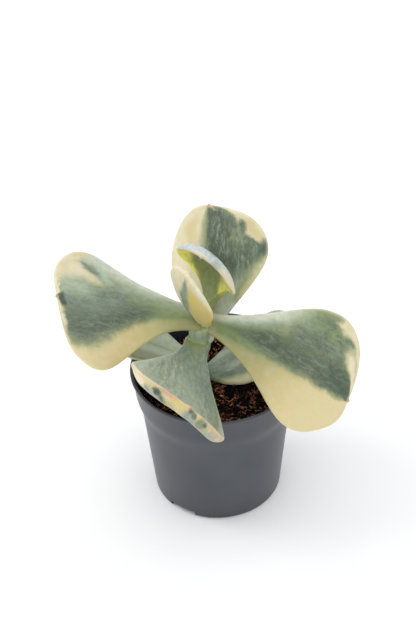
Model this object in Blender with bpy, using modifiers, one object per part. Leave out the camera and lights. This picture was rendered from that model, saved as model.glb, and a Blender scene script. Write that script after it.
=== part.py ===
"""A small plastic nursery pot filled with potting soil, holding one young variegated cotyledon:
a short stem with four crossed pairs of thick, fan-shaped leaves.

The object stands on Z = 0 with the pot's axis on the Z axis. Sizes are given in millimetres
and degrees, and become metres where the meshes are made.
"""
import math
from dataclasses import dataclass

import bmesh
import bpy
import numpy as np
from mathutils import Vector, noise

MM = 0.001
NAME = "potted_cotyledon"

# Clearance between two pieces that touch on the real plant
GAP = 0.3

# The pot
POT_HEIGHT = 49.2
RIM_RADIUS = 27.5
RIM_HEIGHT = 0.8
COLLAR_TOP_RADIUS = 26.8
COLLAR_BOTTOM_RADIUS = 25.9
COLLAR_BOTTOM_Z = 38.8
BODY_TOP_RADIUS = 24.5
BODY_TOP_Z = 35.8
BASE_RADIUS = 21.3
WALL = 0.9
FLOOR = 1.1
EDGE_ROUND = 0.3
BASE_ROUND = 0.6
FOOT_Z = 2.4
POT_STEPS = 56
POT_COLOR = (0.105, 0.118, 0.130, 1.0)

# The drainage notches round the corner of the pot's base
NOTCH_COUNT = 2
NOTCH_WIDTH = 9.5
NOTCH_DEPTH = 2.6
NOTCH_HEIGHT = 2.1
FIRST_NOTCH_ANGLE = -125.0

# The soil: its level at the wall, the rise of its heap and the crumbs of its surface
SOIL_EDGE_Z = 41.0
SOIL_HEAP = 3.0
SOIL_RELIEF = 2.2
CRUMB_SIZE = 3.2
FINE_CRUMB_SHARE = 0.6
FINE_CRUMB_SCALE = 2.1
CALM_AT_STEM = 5.5
CALM_FADE = 3.0
SOIL_RINGS = 17
SOIL_STEPS = 60
SOIL_COLOR = (0.045, 0.026, 0.016, 1.0)

# The stem: points of its axis and its radius at each, from under the soil to the growing tip
STEM_AXIS = (
    ((-5.6, 0.0, 34.0), 2.9),
    ((-5.6, 0.0, 46.0), 3.1),
    ((-5.3, 0.0, 56.0), 3.0),
    ((-4.9, 0.0, 62.0), 2.9),
    ((-4.2, 0.0, 66.5), 2.7),
    ((-3.7, 0.0, 69.0), 1.9),
    ((-3.5, 0.0, 70.5), 0.8),
)
STEM_STEPS = 5
STEM_COLOR = (0.36, 0.42, 0.30, 1.0)

# The leaves: thickness from the base to the blade and at the edge, and the small point at the tip
BASE_THICKNESS = 2.6
BLADE_THICKNESS = 1.7
EDGE_THICKNESS = 0.9
NECK_SHARE = 0.35      # share of the length over which the base thins out to the blade
EDGE_FROM = 0.7        # share of the half width from which the blade thins out to its edge
POINT_LENGTH = 1.0
BASE_SHARE = 0.025     # share of the length that lies inside the stem and is left off
CLASP_SHARE = 0.3      # share of the length over which the base's own turn dies away
LOBE_SPREAD = 18.0     # how many degrees round the end a lobe reaches
LOBE_FADE = 0.3        # share of the rounded end over which lobes set in
LOBE_CORE = 3.0        # radius round the end's centre that lobes leave alone
LEAF_ROWS = 15
LEAF_COLUMNS = 10
COLUMN_CROWDING = 0.8  # near 1 the columns crowd towards the edges, near 0 they are even
MIDRIB_STEPS = 60


@dataclass
class Leaf:
    """Where a leaf leaves the stem, how its midrib runs and the shape of its blade."""
    name: str
    color: tuple
    start: tuple          # start of the midrib, inside the stem
    heading: float        # direction seen from above, counted from +X towards +Y
    sweep: float          # how far the heading has turned at the tip
    rise: tuple           # slope of the midrib at the base, half way and at the tip
    roll: tuple           # turn about the midrib at the base and at the tip, left side up
    length: float
    half_width: float
    neck: float           # half width at the base
    widest: float         # share of the length at which the blade is widest
    flare: float          # above 1 the neck stays narrow for longer
    roundness: float      # 2 rounds the end as an ellipse, more makes it squarer
    lean: float = 0.0     # how much wider the left half is than the right
    cup: float = 0.0      # slope of the side edges against the middle
    curl: float = 0.0     # turn of the outer edge towards the upper face
    curl_from: float = 0.8   # share of the blade that stays uncurled
    curl_reach: float = 90.0  # how far round from the tip the curl goes
    wave: float = 0.0     # rise and fall of the side edges
    wave_start: float = 0.0
    clasp: float = 0.0    # extra turn of the base about the midrib, left side up
    lobes: tuple = ()     # (degrees round from the tip, how far the outline stands out there)


CREAM = (0.80, 0.74, 0.50, 1.0)
GREY_GREEN = (0.26, 0.34, 0.24, 1.0)
PALE_GREEN = (0.40, 0.47, 0.37, 1.0)

LEAVES = (
    Leaf("leaf_left", GREY_GREEN, (-5.2, 1.2, 68.5), 178.8, 22.9, (15.6, 20.9, 22), (-12.1, -23.7),
         45.9, 21.1, 4.5, 0.76, 1.9, 2.43, lean=0.21, cup=-8, wave=-2.6, wave_start=-33,
         lobes=((-29, 0.4), (35, 1.0))),
    Leaf("leaf_right", GREY_GREEN, (-2.0, 0.0, 66.7), -34.2, -8.1, (1.4, -6.7, -5.4), (51.7, 58),
         52.7, 19.2, 3.3, 0.77, 1.67, 2.1, lean=0.16, cup=5.8, wave=-3.2, lobes=((-23, 0.8),)),
    Leaf("leaf_back", CREAM, (-4.4, 1.0, 60.2), 80.5, 2.5, (49, 47, 57.7), (-10, -31),
         42.5, 17.5, 3.6, 0.66, 1.47, 2.15, lean=-0.25, wave=1.2, wave_start=-37,
         lobes=((-44, 0.6),)),
    Leaf("leaf_front", PALE_GREEN, (-5.4, -2.3, 61.1), -97.9, 7.3, (-13.2, 12.2, 48.9), (-43.3, -38),
         49.9, 17.7, 3.4, 0.6, 1.63, 3.1, lean=-0.19, cup=-12,
         curl=91, curl_from=0.78, curl_reach=116, clasp=25),
    Leaf("leaf_young_back", PALE_GREEN, (-3.4, 1.5, 69.1), 57.5, 3.5, (18, 90, 151), (-26, -14),
         30.3, 14.1, 2.2, 0.59, 2.6, 1.95, lean=-0.015, cup=33.7,
         curl=73, curl_from=0.73, curl_reach=94),
    Leaf("leaf_young_front", CREAM, (-2.9, -1.8, 69.3), -130.5, -11.8, (43.8, 74.6, 95.7), (-11.6, -10.5),
         24.7, 11.7, 2.6, 0.65, 1.37, 1.71, lean=-0.04, cup=17.3),
    Leaf("leaf_low_left", PALE_GREEN, (-6.3, 0.0, 49.8), 168, -2, (20, 26, 17), (10, 2),
         41.1, 14.0, 3.5, 0.72, 1.15, 2.2, cup=15),
    Leaf("leaf_low_right", PALE_GREEN, (-2.7, 0.0, 46.8), 4.7, -11.5, (4, 38, 21), (5.7, -0.3),
         35.4, 13.9, 2.4, 0.63, 0.94, 1.7, lean=-0.06, cup=12.7, lobes=((62, 0.7),)),
)


def clear_scene():
    """Remove whatever objects the file holds."""
    for item in list(bpy.data.objects):
        bpy.data.objects.remove(item, do_unlink=True)


def make_collection(name):
    collection = bpy.data.collections.new(name)
    bpy.context.scene.collection.children.link(collection)
    return collection


def make_material(name, color, roughness, metallic=0.0):
    material = bpy.data.materials.new(name)
    material.use_nodes = True
    shader = material.node_tree.nodes["Principled BSDF"]
    shader.inputs["Base Color"].default_value = color
    shader.inputs["Roughness"].default_value = roughness
    shader.inputs["Metallic"].default_value = metallic
    return material


def add_object(name, data, collection, material=None):
    """Put a mesh or curve in the collection as an object, with its material."""
    item = bpy.data.objects.new(name, data)
    collection.objects.link(item)
    if material:
        data.materials.append(material)
    return item


def mesh_from(name, bm):
    mesh = bpy.data.meshes.new(name)
    bm.to_mesh(mesh)
    bm.free()
    return mesh


def evaluated_mesh(item):
    """The object's mesh as its modifiers or its curve's bevel make it."""
    depsgraph = bpy.context.evaluated_depsgraph_get()
    return bpy.data.meshes.new_from_object(item.evaluated_get(depsgraph))


def hide_as_cutter(item):
    item.hide_render = True
    item.display_type = "WIRE"


def cut(item, cutter):
    """Cut the cutter's shape out of the object."""
    boolean = item.modifiers.new("cut_" + cutter.name, "BOOLEAN")
    boolean.operation = "DIFFERENCE"
    boolean.solver = "EXACT"
    boolean.object = cutter


def turned(name, profile, steps, collection, material=None):
    """Turn a profile of (radius, height) points, given down its outer side, about the Z axis."""
    bm = bmesh.new()
    points = [bm.verts.new((radius * MM, 0.0, height * MM)) for radius, height in profile]
    for first, second in zip(points[:-1], points[1:]):
        bm.edges.new((first, second))
    item = add_object(name, mesh_from(name, bm), collection, material)
    screw = item.modifiers.new("turn", "SCREW")
    screw.axis = "Z"
    screw.steps = steps
    screw.render_steps = steps
    screw.use_merge_vertices = True
    screw.merge_threshold = 0.00001
    screw.use_smooth_shade = True
    return item


def body_radius(z):
    """Outer radius of the tapered body, which widens evenly from the base."""
    return BASE_RADIUS + (BODY_TOP_RADIUS - BASE_RADIUS) * z / BODY_TOP_Z


def pot_outer_profile():
    """The outside of the pot, from the rim's top to the corner of the base."""
    rim_bottom = POT_HEIGHT - RIM_HEIGHT
    return [
        (RIM_RADIUS - EDGE_ROUND, POT_HEIGHT),
        (RIM_RADIUS, POT_HEIGHT - EDGE_ROUND),
        (RIM_RADIUS, rim_bottom),
        (COLLAR_TOP_RADIUS, rim_bottom - EDGE_ROUND),
        (COLLAR_BOTTOM_RADIUS, COLLAR_BOTTOM_Z),
        (BODY_TOP_RADIUS, BODY_TOP_Z),
        (body_radius(FOOT_Z), FOOT_Z),
        (body_radius(BASE_ROUND), BASE_ROUND),
        (BASE_RADIUS - BASE_ROUND, 0.0),
    ]


def pot_inner_profile(clearance=0.0):
    """The inside of the pot from its floor to its rim, moved in by the clearance."""
    inset = WALL + clearance
    return [
        (body_radius(FLOOR + clearance) - inset, FLOOR + clearance),
        (body_radius(FOOT_Z) - inset, FOOT_Z),
        (BODY_TOP_RADIUS - inset, BODY_TOP_Z),
        (COLLAR_BOTTOM_RADIUS - inset, COLLAR_BOTTOM_Z),
        (COLLAR_TOP_RADIUS - inset, POT_HEIGHT - RIM_HEIGHT - EDGE_ROUND),
        (RIM_RADIUS - inset, POT_HEIGHT),
    ]


def make_pot(collection, cutters):
    """The pot: a thin turned wall and floor, with drainage notches round the base."""
    inner = pot_inner_profile()
    profile = pot_outer_profile()
    profile = profile + [(0.0, 0.0), (0.0, FLOOR)] + inner + [profile[0]]
    plastic = make_material("pot_plastic", POT_COLOR, 0.45)
    pot = turned("pot", profile, POT_STEPS, collection, plastic)
    for index in range(NOTCH_COUNT):
        angle = math.radians(FIRST_NOTCH_ANGLE + index * 360.0 / NOTCH_COUNT)
        cut(pot, make_notch("notch_%d" % (index + 1), angle, cutters))
    return pot


def make_notch(name, angle, cutters):
    """A box through the corner of the pot's base, which opens its floor and the foot of its wall."""
    size = Vector((2 * NOTCH_DEPTH, NOTCH_WIDTH, 2 * NOTCH_HEIGHT)) * MM
    bm = bmesh.new()
    bmesh.ops.create_cube(bm, size=1.0)
    bmesh.ops.scale(bm, verts=bm.verts, vec=size)
    notch = add_object(name, mesh_from(name, bm), cutters)
    notch.location = (BASE_RADIUS * math.cos(angle) * MM, BASE_RADIUS * math.sin(angle) * MM, 0.0)
    notch.rotation_euler = (0.0, 0.0, angle)
    hide_as_cutter(notch)
    return notch


def soil_height(x, y):
    """Height of the soil: a low heap at the stem, covered with crumbs, and calm close to the stem."""
    reach = math.hypot(x, y) / (COLLAR_BOTTOM_RADIUS - WALL)
    heap = SOIL_HEAP * (1.0 - reach ** 2)
    place = Vector((x, y, 0.0)) / CRUMB_SIZE
    fine_place = place * FINE_CRUMB_SCALE + Vector((7.0, 3.0, 1.0))
    crumbs = noise.noise(place) + FINE_CRUMB_SHARE * noise.noise(fine_place)
    stem_x, stem_y, _ = STEM_AXIS[1][0]
    from_stem = math.hypot(x - stem_x, y - stem_y)
    calm = smooth_step((from_stem - CALM_AT_STEM) / CALM_FADE)
    return SOIL_EDGE_Z + heap + SOIL_RELIEF * crumbs * calm


def make_soil(collection, stem_hole):
    """The soil: it fills the pot with a small clearance, and its top is raised into crumbs."""
    inner = pot_inner_profile(GAP)
    low, foot, bend, step, top_of_collar = inner[:5]
    slope = (top_of_collar[0] - step[0]) / (top_of_collar[1] - step[1])
    edge_radius = step[0] + slope * (SOIL_EDGE_Z - SOIL_RELIEF - step[1])
    flat_top = SOIL_EDGE_Z + SOIL_HEAP
    rings = [edge_radius * ring / SOIL_RINGS for ring in range(SOIL_RINGS + 1)]
    profile = [(radius, flat_top) for radius in rings] + [step, bend, foot, low, (0.0, low[1])]
    soil = turned("soil", profile, SOIL_STEPS, collection, make_material("soil", SOIL_COLOR, 0.95))
    mesh = evaluated_mesh(soil)
    bpy.data.objects.remove(soil, do_unlink=True)
    last_ring = (rings[-2] + rings[-1]) / 2
    for vertex in mesh.vertices:
        x, y, z = vertex.co / MM
        if z > (SOIL_EDGE_Z + flat_top) / 2:
            height = soil_height(x, y)
            if math.hypot(x, y) > last_ring:
                height = min(height, SOIL_EDGE_Z)
            vertex.co.z = height * MM
    mesh.shade_flat()
    soil = add_object("soil", mesh, collection)
    cut(soil, stem_hole)
    return soil


def stem_curve(name, extra):
    """The stem as a round tube along its axis, thickened by the extra radius."""
    curve = bpy.data.curves.new(name, "CURVE")
    curve.dimensions = "3D"
    curve.bevel_depth = 1.0 * MM
    curve.bevel_resolution = STEM_STEPS
    curve.use_fill_caps = True
    spline = curve.splines.new("POLY")
    spline.points.add(len(STEM_AXIS) - 1)
    for point, (place, radius) in zip(spline.points, STEM_AXIS):
        point.co = [value * MM for value in place] + [1.0]
        point.radius = radius + extra
    first, last = spline.points[0], spline.points[-1]
    first.co.z -= extra * MM
    last.co.z += extra * MM
    return curve


def make_stem(collection):
    """The stem, from under the soil to the growing tip between the youngest leaves."""
    return add_object("stem", stem_curve("stem", 0.0), collection, make_material("stem", STEM_COLOR, 0.6))


def make_stem_cutter(cutters):
    """The stem's shape with the clearance round it, as a closed mesh."""
    tube = add_object("stem_tube", stem_curve("stem_tube", GAP), cutters)
    mesh = evaluated_mesh(tube)
    bpy.data.objects.remove(tube, do_unlink=True)
    bm = bmesh.new()
    bm.from_mesh(mesh)
    bmesh.ops.remove_doubles(bm, verts=bm.verts, dist=0.00001)
    bm.to_mesh(mesh)
    bm.free()
    cutter = add_object("stem_space", mesh, cutters)
    hide_as_cutter(cutter)
    return cutter


def smooth_step(value):
    value = np.clip(value, 0.0, 1.0)
    return value * value * (3.0 - 2.0 * value)


def midrib(leaf):
    """Points of the midrib with its direction, its left side and its upper side at each."""
    share = np.linspace(0.0, 1.0, MIDRIB_STEPS + 1)

    def direction(part):
        slope = (leaf.rise[0] * (1 - part) * (1 - 2 * part)
                 + leaf.rise[1] * 4 * part * (1 - part)
                 + leaf.rise[2] * part * (2 * part - 1))
        slope = np.radians(slope)
        turn = np.radians(leaf.heading + leaf.sweep * part)
        along = np.stack([np.cos(slope) * np.cos(turn), np.cos(slope) * np.sin(turn), np.sin(slope)], -1)
        left = np.stack([-np.sin(turn), np.cos(turn), 0 * turn], -1)
        return along, left

    middle = (share[:-1] + share[1:]) / 2
    steps = direction(middle)[0] * leaf.length / MIDRIB_STEPS
    points = np.array(leaf.start) + np.concatenate([[[0, 0, 0]], np.cumsum(steps, 0)])
    along, left = direction(share)
    up = np.cross(along, left)
    roll = leaf.roll[0] + (leaf.roll[1] - leaf.roll[0]) * share
    roll = np.radians(roll + leaf.clasp * (1 - smooth_step(share / CLASP_SHARE)))[:, None]
    side = np.cos(roll) * left + np.sin(roll) * up
    top = np.cos(roll) * up - np.sin(roll) * left
    return share, points, along, side, top


def half_width_at(leaf, part):
    """Half width of the blade: it opens out from the neck and closes in a rounded end."""
    opening = np.clip(part / leaf.widest, 0, 1)
    closing = np.clip((part - leaf.widest) / (1 - leaf.widest), 0, 1)
    neck = leaf.neck + (leaf.half_width - leaf.neck) * np.sin(np.pi / 2 * opening ** leaf.flare)
    end = leaf.half_width * (1 - closing ** leaf.roundness) ** (1 / leaf.roundness)
    return np.where(part < leaf.widest, neck, end)


def lobed(leaf, part, offset, half):
    """Push the rounded end out at a few angles from the tip: new share of length and new offset."""
    ahead = np.clip((part - leaf.widest) / (1 - leaf.widest), 0, None)
    aside = offset / half
    reach = (ahead ** leaf.roundness + np.abs(aside) ** leaf.roundness) ** (1 / leaf.roundness)
    from_tip = np.degrees(np.arctan2(aside, ahead))
    push = sum(amount * np.exp(-((from_tip - angle) / LOBE_SPREAD) ** 2) for angle, amount in leaf.lobes)
    distance = (part - leaf.widest) * leaf.length
    radius = np.hypot(distance, offset)
    scale = 1 + push * reach ** 2 * smooth_step(ahead / LOBE_FADE) / np.maximum(radius, LOBE_CORE)
    return leaf.widest + (part - leaf.widest) * scale, offset * scale


def curled(leaf, part, offset, half):
    """Turn the outer band of the blade up: new share of length, new offset and height."""
    ahead = np.clip((part - leaf.widest) / (1 - leaf.widest), 0, None)
    aside = np.abs(offset) / half
    reach = (ahead ** leaf.roundness + aside ** leaf.roundness) ** (1 / leaf.roundness)
    reach = np.maximum(reach, 1e-6)
    round_from_tip = np.degrees(np.arctan2(aside, ahead))
    share = smooth_step((leaf.curl_reach - round_from_tip) / (0.5 * leaf.curl_reach))
    distance = (part - leaf.widest) * leaf.length
    full = np.hypot(distance, offset) / reach
    band = (1 - leaf.curl_from) * full
    bend = np.maximum(np.radians(leaf.curl) * share / np.maximum(band, 1e-6), 1e-6)
    past = np.clip((reach - leaf.curl_from) * full, 0, None)
    inward = np.sin(bend * past) / bend
    height = (1 - np.cos(bend * past)) / bend
    outer = (reach > leaf.curl_from) & (ahead > 0)
    scale = np.where(outer, (leaf.curl_from * full + inward) / (reach * full + 1e-9), 1.0)
    part = np.where(outer, leaf.widest + distance * scale / leaf.length, part)
    return part, offset * scale, np.where(outer, height, 0.0)


def blade_points(leaf, part, across):
    """Points of the blade's middle surface at a share of the length and a place across, -1 to 1."""
    wider = np.where(across > 0, 1 + leaf.lean, 1 - leaf.lean)
    half = leaf.half_width * wider
    offset = half_width_at(leaf, part) * wider * across
    height = np.zeros_like(offset)
    if leaf.lobes:
        part, offset = lobed(leaf, part, offset, half)
    if leaf.curl:
        part, offset, height = curled(leaf, part, offset, half)
    share, points, along, side, top = midrib(leaf)

    def read(values):
        return np.stack([np.interp(part, share, values[:, axis]) for axis in range(3)], -1)

    beyond = np.clip(part - 1, 0, None) * leaf.length
    cup = math.radians(leaf.cup) if leaf.cup else 1e-6
    turn = cup * offset / half
    sideways = np.sin(turn) * half / cup - height * np.sin(turn)
    lift = (1 - np.cos(turn)) * half / cup + height * np.cos(turn)
    swell = np.sin(2 * np.pi * part + math.radians(leaf.wave_start))
    lift = lift + leaf.wave * swell * (offset / half) ** 2
    return (read(points) + read(along) * beyond[..., None]
            + read(side) * sideways[..., None] + read(top) * lift[..., None])


def leaf_grid(leaf):
    """Shares of the length and places across for the blade's rows and columns."""
    neck_rows = LEAF_ROWS // 2
    neck = np.linspace(BASE_SHARE, leaf.widest, neck_rows, endpoint=False)
    quarter = np.linspace(0, np.pi / 2, LEAF_ROWS + 1 - neck_rows)
    end = leaf.widest + (1 - leaf.widest) * np.sin(quarter)
    part = np.concatenate([neck, end])
    widest_turn = np.pi / 2 * COLUMN_CROWDING
    across = np.sin(np.linspace(-widest_turn, widest_turn, LEAF_COLUMNS + 1)) / math.sin(widest_turn)
    return np.meshgrid(part, across, indexing="ij")


def make_leaf(leaf, collection, stem_space):
    """A leaf: a grid bent to the blade's middle surface, given its thickness and cut to the stem."""
    part, across = leaf_grid(leaf)
    places = blade_points(leaf, part, across)
    rows, columns = part.shape
    tip = places[-1].mean(0)
    outward = tip - places[-3][columns // 2]
    places[-1] = tip + outward / np.linalg.norm(outward) * POINT_LENGTH

    bm = bmesh.new()
    bmesh.ops.create_grid(bm, x_segments=rows - 1, y_segments=columns - 1, size=1.0)
    thickness = bm.verts.layers.deform.verify()
    for vertex in bm.verts:
        row = round((vertex.co.x + 1) / 2 * (rows - 1))
        column = round((vertex.co.y + 1) / 2 * (columns - 1))
        vertex.co = Vector(places[row, column]) * MM
        vertex[thickness][0] = leaf_thickness(part[row, column], across[row, column]) / BASE_THICKNESS
    bmesh.ops.remove_doubles(bm, verts=bm.verts, dist=0.00002)
    bmesh.ops.triangulate(bm, faces=bm.faces)
    mesh = mesh_from(leaf.name, bm)
    mesh.shade_smooth()
    mesh.set_sharp_from_angle(angle=math.radians(60.0))
    item = add_object(leaf.name, mesh, collection, make_material(leaf.name, leaf.color, 0.55))
    item.vertex_groups.new(name="thickness")
    solidify = item.modifiers.new("thickness", "SOLIDIFY")
    solidify.thickness = BASE_THICKNESS * MM
    solidify.offset = 0.0
    solidify.vertex_group = "thickness"
    cut(item, stem_space)
    return item


def leaf_thickness(part, across):
    """Thickness: most at the base, less over the blade and least at the edge."""
    blade = BASE_THICKNESS + (BLADE_THICKNESS - BASE_THICKNESS) * smooth_step(part / NECK_SHARE)
    outwards = max(abs(across), part ** 4)
    edge = smooth_step((outwards - EDGE_FROM) / (1 - EDGE_FROM))
    return float(blade + (EDGE_THICKNESS - blade) * edge)


def main():
    clear_scene()
    parts = make_collection(NAME)
    cutters = make_collection("cutters")
    stem_space = make_stem_cutter(cutters)
    make_pot(parts, cutters)
    make_soil(parts, stem_space)
    make_stem(parts)
    for leaf in LEAVES:
        make_leaf(leaf, parts, stem_space)


main()
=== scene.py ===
"""A young variegated cotyledon in a small nursery pot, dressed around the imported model.

The file is laid out as an add-on with one operator for each piece or group of like pieces.
The objects are in metres, standing on Z = 0 with the pot's axis on Z. The plant's own shapes
are written in millimetres and degrees. A blade has two coordinates of its own: the share of
its length, 0 at the stem and 1 at the tip, and the place across it, -1 at its right edge and
1 at its left one, seen from above with the tip ahead.
"""

import math
import random
from contextlib import contextmanager
from dataclasses import dataclass

import bpy
import numpy as np
from bpy.props import FloatProperty, FloatVectorProperty, IntProperty, PointerProperty
from mathutils import Matrix, Vector, noise


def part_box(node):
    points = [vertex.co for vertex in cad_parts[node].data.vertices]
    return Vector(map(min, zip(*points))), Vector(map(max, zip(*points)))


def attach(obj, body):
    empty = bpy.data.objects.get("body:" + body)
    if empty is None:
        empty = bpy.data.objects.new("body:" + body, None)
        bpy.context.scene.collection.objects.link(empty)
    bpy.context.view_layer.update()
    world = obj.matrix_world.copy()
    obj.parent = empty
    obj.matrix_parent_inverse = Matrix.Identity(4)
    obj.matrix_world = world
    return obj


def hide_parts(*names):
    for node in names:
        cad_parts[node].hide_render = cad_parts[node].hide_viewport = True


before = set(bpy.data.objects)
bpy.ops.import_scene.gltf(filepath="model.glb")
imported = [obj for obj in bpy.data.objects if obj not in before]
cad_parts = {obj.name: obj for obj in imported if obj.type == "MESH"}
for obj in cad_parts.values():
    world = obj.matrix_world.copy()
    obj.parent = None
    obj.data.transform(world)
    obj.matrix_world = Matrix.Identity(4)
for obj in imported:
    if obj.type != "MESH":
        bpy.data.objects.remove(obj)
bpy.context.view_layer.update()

bl_info = {
    "name": "Potted cotyledon",
    "version": (1, 0, 0),
    "blender": (4, 5, 0),
    "location": "3D View > Sidebar > Plant",
    "description": "Models a variegated cotyledon in its nursery pot",
    "category": "Add Mesh",
}

MM = 0.001
MERGE_DISTANCE = 0.0008 * MM   # points nearer each other than this become one
POT_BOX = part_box("pot")


def tint(red, green, blue):
    """A colour given as the eye sees it, 0 to 255, in the linear values that shaders use."""
    values = [channel / 255.0 for channel in (red, green, blue)]
    return tuple(v / 12.92 if v <= 0.04045 else ((v + 0.055) / 1.055) ** 2.4 for v in values)


def colour(name, description, red, green, blue):
    """A colour setting, 0 to 255 as the eye sees it."""
    return FloatVectorProperty(
        name=name, description=description, default=tint(red, green, blue), subtype="COLOR")


def length(name, description, metres):
    return FloatProperty(name=name, description=description, default=metres, unit="LENGTH")


# The pot's turned shape, in millimetres
RIM_BAND = 0.8
COLLAR_TOP_RADIUS = 26.8
COLLAR_TOP_Z = 48.0            # about: only the soil's edge needs it
COLLAR_BOTTOM_RADIUS = 25.95
COLLAR_BOTTOM_Z = 39.5
BODY_TOP_RADIUS = 24.45
BODY_TOP_Z = 35.0
BASE_RADIUS = 21.3
BASE_ROUND = 0.6
SOFT_CORNER = 2.0
FLOOR = 1.1
FOOT_WIDTH = 1.6
FOOT_RECESS = 0.45
NOTCH_COUNT = 2
NOTCH_SIZE = (5.2, 9.5, 4.2)
NOTCH_BEVEL = 0.4
FIRST_NOTCH_ANGLE = -125.0
FILLET = 0.32                  # rounding of the corners that have none of their own
SMOOTH_ANGLE = 38.0            # edges sharper than this stay sharp

# The stem: points of its axis, its radius there and how far it flattens out at the leaf pairs
STEM_AXIS = (
    ((-5.6, 0.0, 36.0), 2.7),
    ((-5.6, 0.0, 43.0), 2.85),
    ((-5.6, 0.0, 48.0), 3.0),
    ((-5.3, 0.0, 56.0), 2.9),
    ((-4.9, 0.0, 62.0), 2.9),
    ((-4.2, 0.0, 66.5), 2.9),
    ((-3.7, 0.0, 69.0), 2.2),
    ((-3.4, 0.0, 71.3), 0.9),
)
# Each leaf pair's node: height, heading of the pair and how far the stem widens across it
STEM_NODES = (
    (47.6, -6.0, 0.9),
    (59.0, 84.0, 1.1),
    (66.2, -15.0, 1.3),
)
SWELLING_REACH = (1.8, 4.2)    # how far it swells above a node and below it
STEM_SCARS = (45.2, 52.6, 56.2, 63.4)
SCAR_RINGS = ((-0.10, 0.0, 0.22), (0.08, 0.5, 0.35))    # height of each ring, place and width
STEM_RING = 72                 # faces round the stem
STEM_ROWS = 150                # and along it
STEM_END_SHARE = 0.02          # share of the length that rounds off each end
JOINT_LINE = 1.6               # height of the bright line over a node


@dataclass
class Streak:
    """A soft band of one colour along a blade, in shares of its length and half width."""
    tone: str
    start: float
    end: float
    line: tuple | float    # place across: one value, or those at the start, perhaps middle, and end
    spread: tuple | float  # half width of the band, in the same way
    fade: float = 0.10     # softness of its two ends
    blur: float = 0.24     # softness of its two sides
    strength: float = 1.0
    halo: float = 0.75     # how strongly olive shows round green and cream


@dataclass
class Spot:
    """A soft blotch near the edge of a blade's rounded end."""
    tone: str
    turn: float            # degrees round from the tip
    inset: float           # how far in from the edge, as a share of the way to the end's middle
    size: tuple            # half its width in degrees, half its depth as such a share
    strength: float = 1.0


@dataclass
class Leaf:
    """Where a leaf leaves the stem, how its midrib runs, its outline and its variegation."""
    name: str
    start: tuple
    heading: float             # direction of the base, from +X towards +Y
    sweep: float               # how far that turns along the blade
    rise: tuple                # slope at the base, the middle and the tip
    roll: tuple                # turn about the midrib at the base and at the tip
    length: float
    half_width: float
    neck: float                # half width at the stem
    widest: float              # share of the length where it is widest
    flare: float               # the higher, the later the sides open out
    roundness: float           # 2 for an elliptic end, more for a squarer one
    lean: float = 0.0          # how much wider its left half is, as a share
    cup: float = 0.0           # how far its sides bend up
    curl: float = 0.0          # how far the band along its end turns up
    curl_from: float = 0.8     # where that band starts, as a share of the way to the edge
    curl_reach: float = 90.0   # how far round from the tip it goes
    wave: float = 0.0          # height of the wave along its edges
    wave_start: float = 0.0
    clasp: float = 0.0         # extra turn of the base about the midrib
    lobes: tuple = ()          # (degrees round from the tip, how far the outline stands out)
    ground: str = "butter"     # tone under all the streaks
    flush: float = 0.45        # share of the length over which the base is washed with olive
    veins: float = 0.55        # strength of the chalky marbling along the blade
    bloom: tuple = (0.35, 0.6)     # powder on the upper and the under side
    blush: float = 0.4         # pink along the end of the blade
    streaks: tuple = ()
    spots: tuple = ()


# Each leaf's streaks, in the order in which they are laid over each other: tone, start and end
# along the blade, place across it, half width, and softness of the ends and of the sides

# Left leaf: green and powdery, butter below, a cream tongue from the far corner
LEFT_STREAKS = (
    Streak("green", -0.3, 1.3, -0.45, (1.08, 0.9, 1.8), 0.1, 0.52),
    # Near the stem: the leaf's own moss green, strengthened, with a pale streak over it; both are partly
    # painted light where the young front leaf shades the base
    Streak("moss", -0.3, 0.38, (-0.05, 0.05), (0.56, 0.4), 0.3, 0.6, strength=0.95),
    Streak("pale", -0.3, 0.26, (-0.35, -0.25), (0.6, 0.4), 0.3, 0.6, strength=0.6),
    Streak("deep", 0.3, 1.0, (0.2, 0.3, 0.46), (0.16, 0.18, 0.2), 0.3, 0.34),
    Streak("blue", 0.4, 1.1, (-0.06, 0.1, 0.0), (0.14, 0.16, 0.3), 0.26, 0.4, strength=0.3),
    Streak("pale", -0.1, 0.88, (-0.84, -0.74, -0.8), (0.6, 0.36, 0.34), 0.2, 0.7, strength=0.95),
    # White along the far edge: partly the skin's powder, partly painted sheen where that edge curves
    # away
    Streak("white", 0.04, 0.76, (-1.04, -1.0), (0.36, 0.26), 0.16, 0.4, strength=0.9),
    Streak("cream", 0.64, 1.15, (-0.33, -0.68, -1.0), (0.06, 0.27, 0.55), 0.2, 0.46),
    Streak("pale", 0.6, 0.8, (-0.54, -0.62, -0.74), (0.16, 0.12, 0.06), 0.08, 0.2),
    Streak("deep", 0.67, 0.8, (-0.54, -0.64, -0.76), (0.05, 0.06, 0.04), 0.06, 0.16, strength=0.8),
    Streak("cream", 0.7, 1.02, (-1.06, -1.0), (0.12, 0.46), 0.1, 0.36, halo=0.0),
    Streak("moss", 0.54, 0.62, (-0.48, -0.52), (0.09, 0.06), 0.06, 0.14, strength=0.6),
    Streak("pale", 0.74, 1.0, (-0.18, -0.26, -0.32), (0.12, 0.18, 0.2), 0.14, 0.4, strength=0.9),
    Streak("cream", 0.965, 1.1, (-0.28, -0.34), (0.22, 0.3), 0.03, 0.14),
    Streak("cream", 0.968, 1.1, (0.58, 0.5), (0.36, 0.3), 0.06, 0.4, strength=0.8),
    Streak("moss", 0.945, 0.985, (0.05, 0.1), 0.18, 0.03, 0.12),
    Streak("night", 0.942, 0.985, (0.04, 0.12), 0.15, 0.025, 0.1),
)
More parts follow.
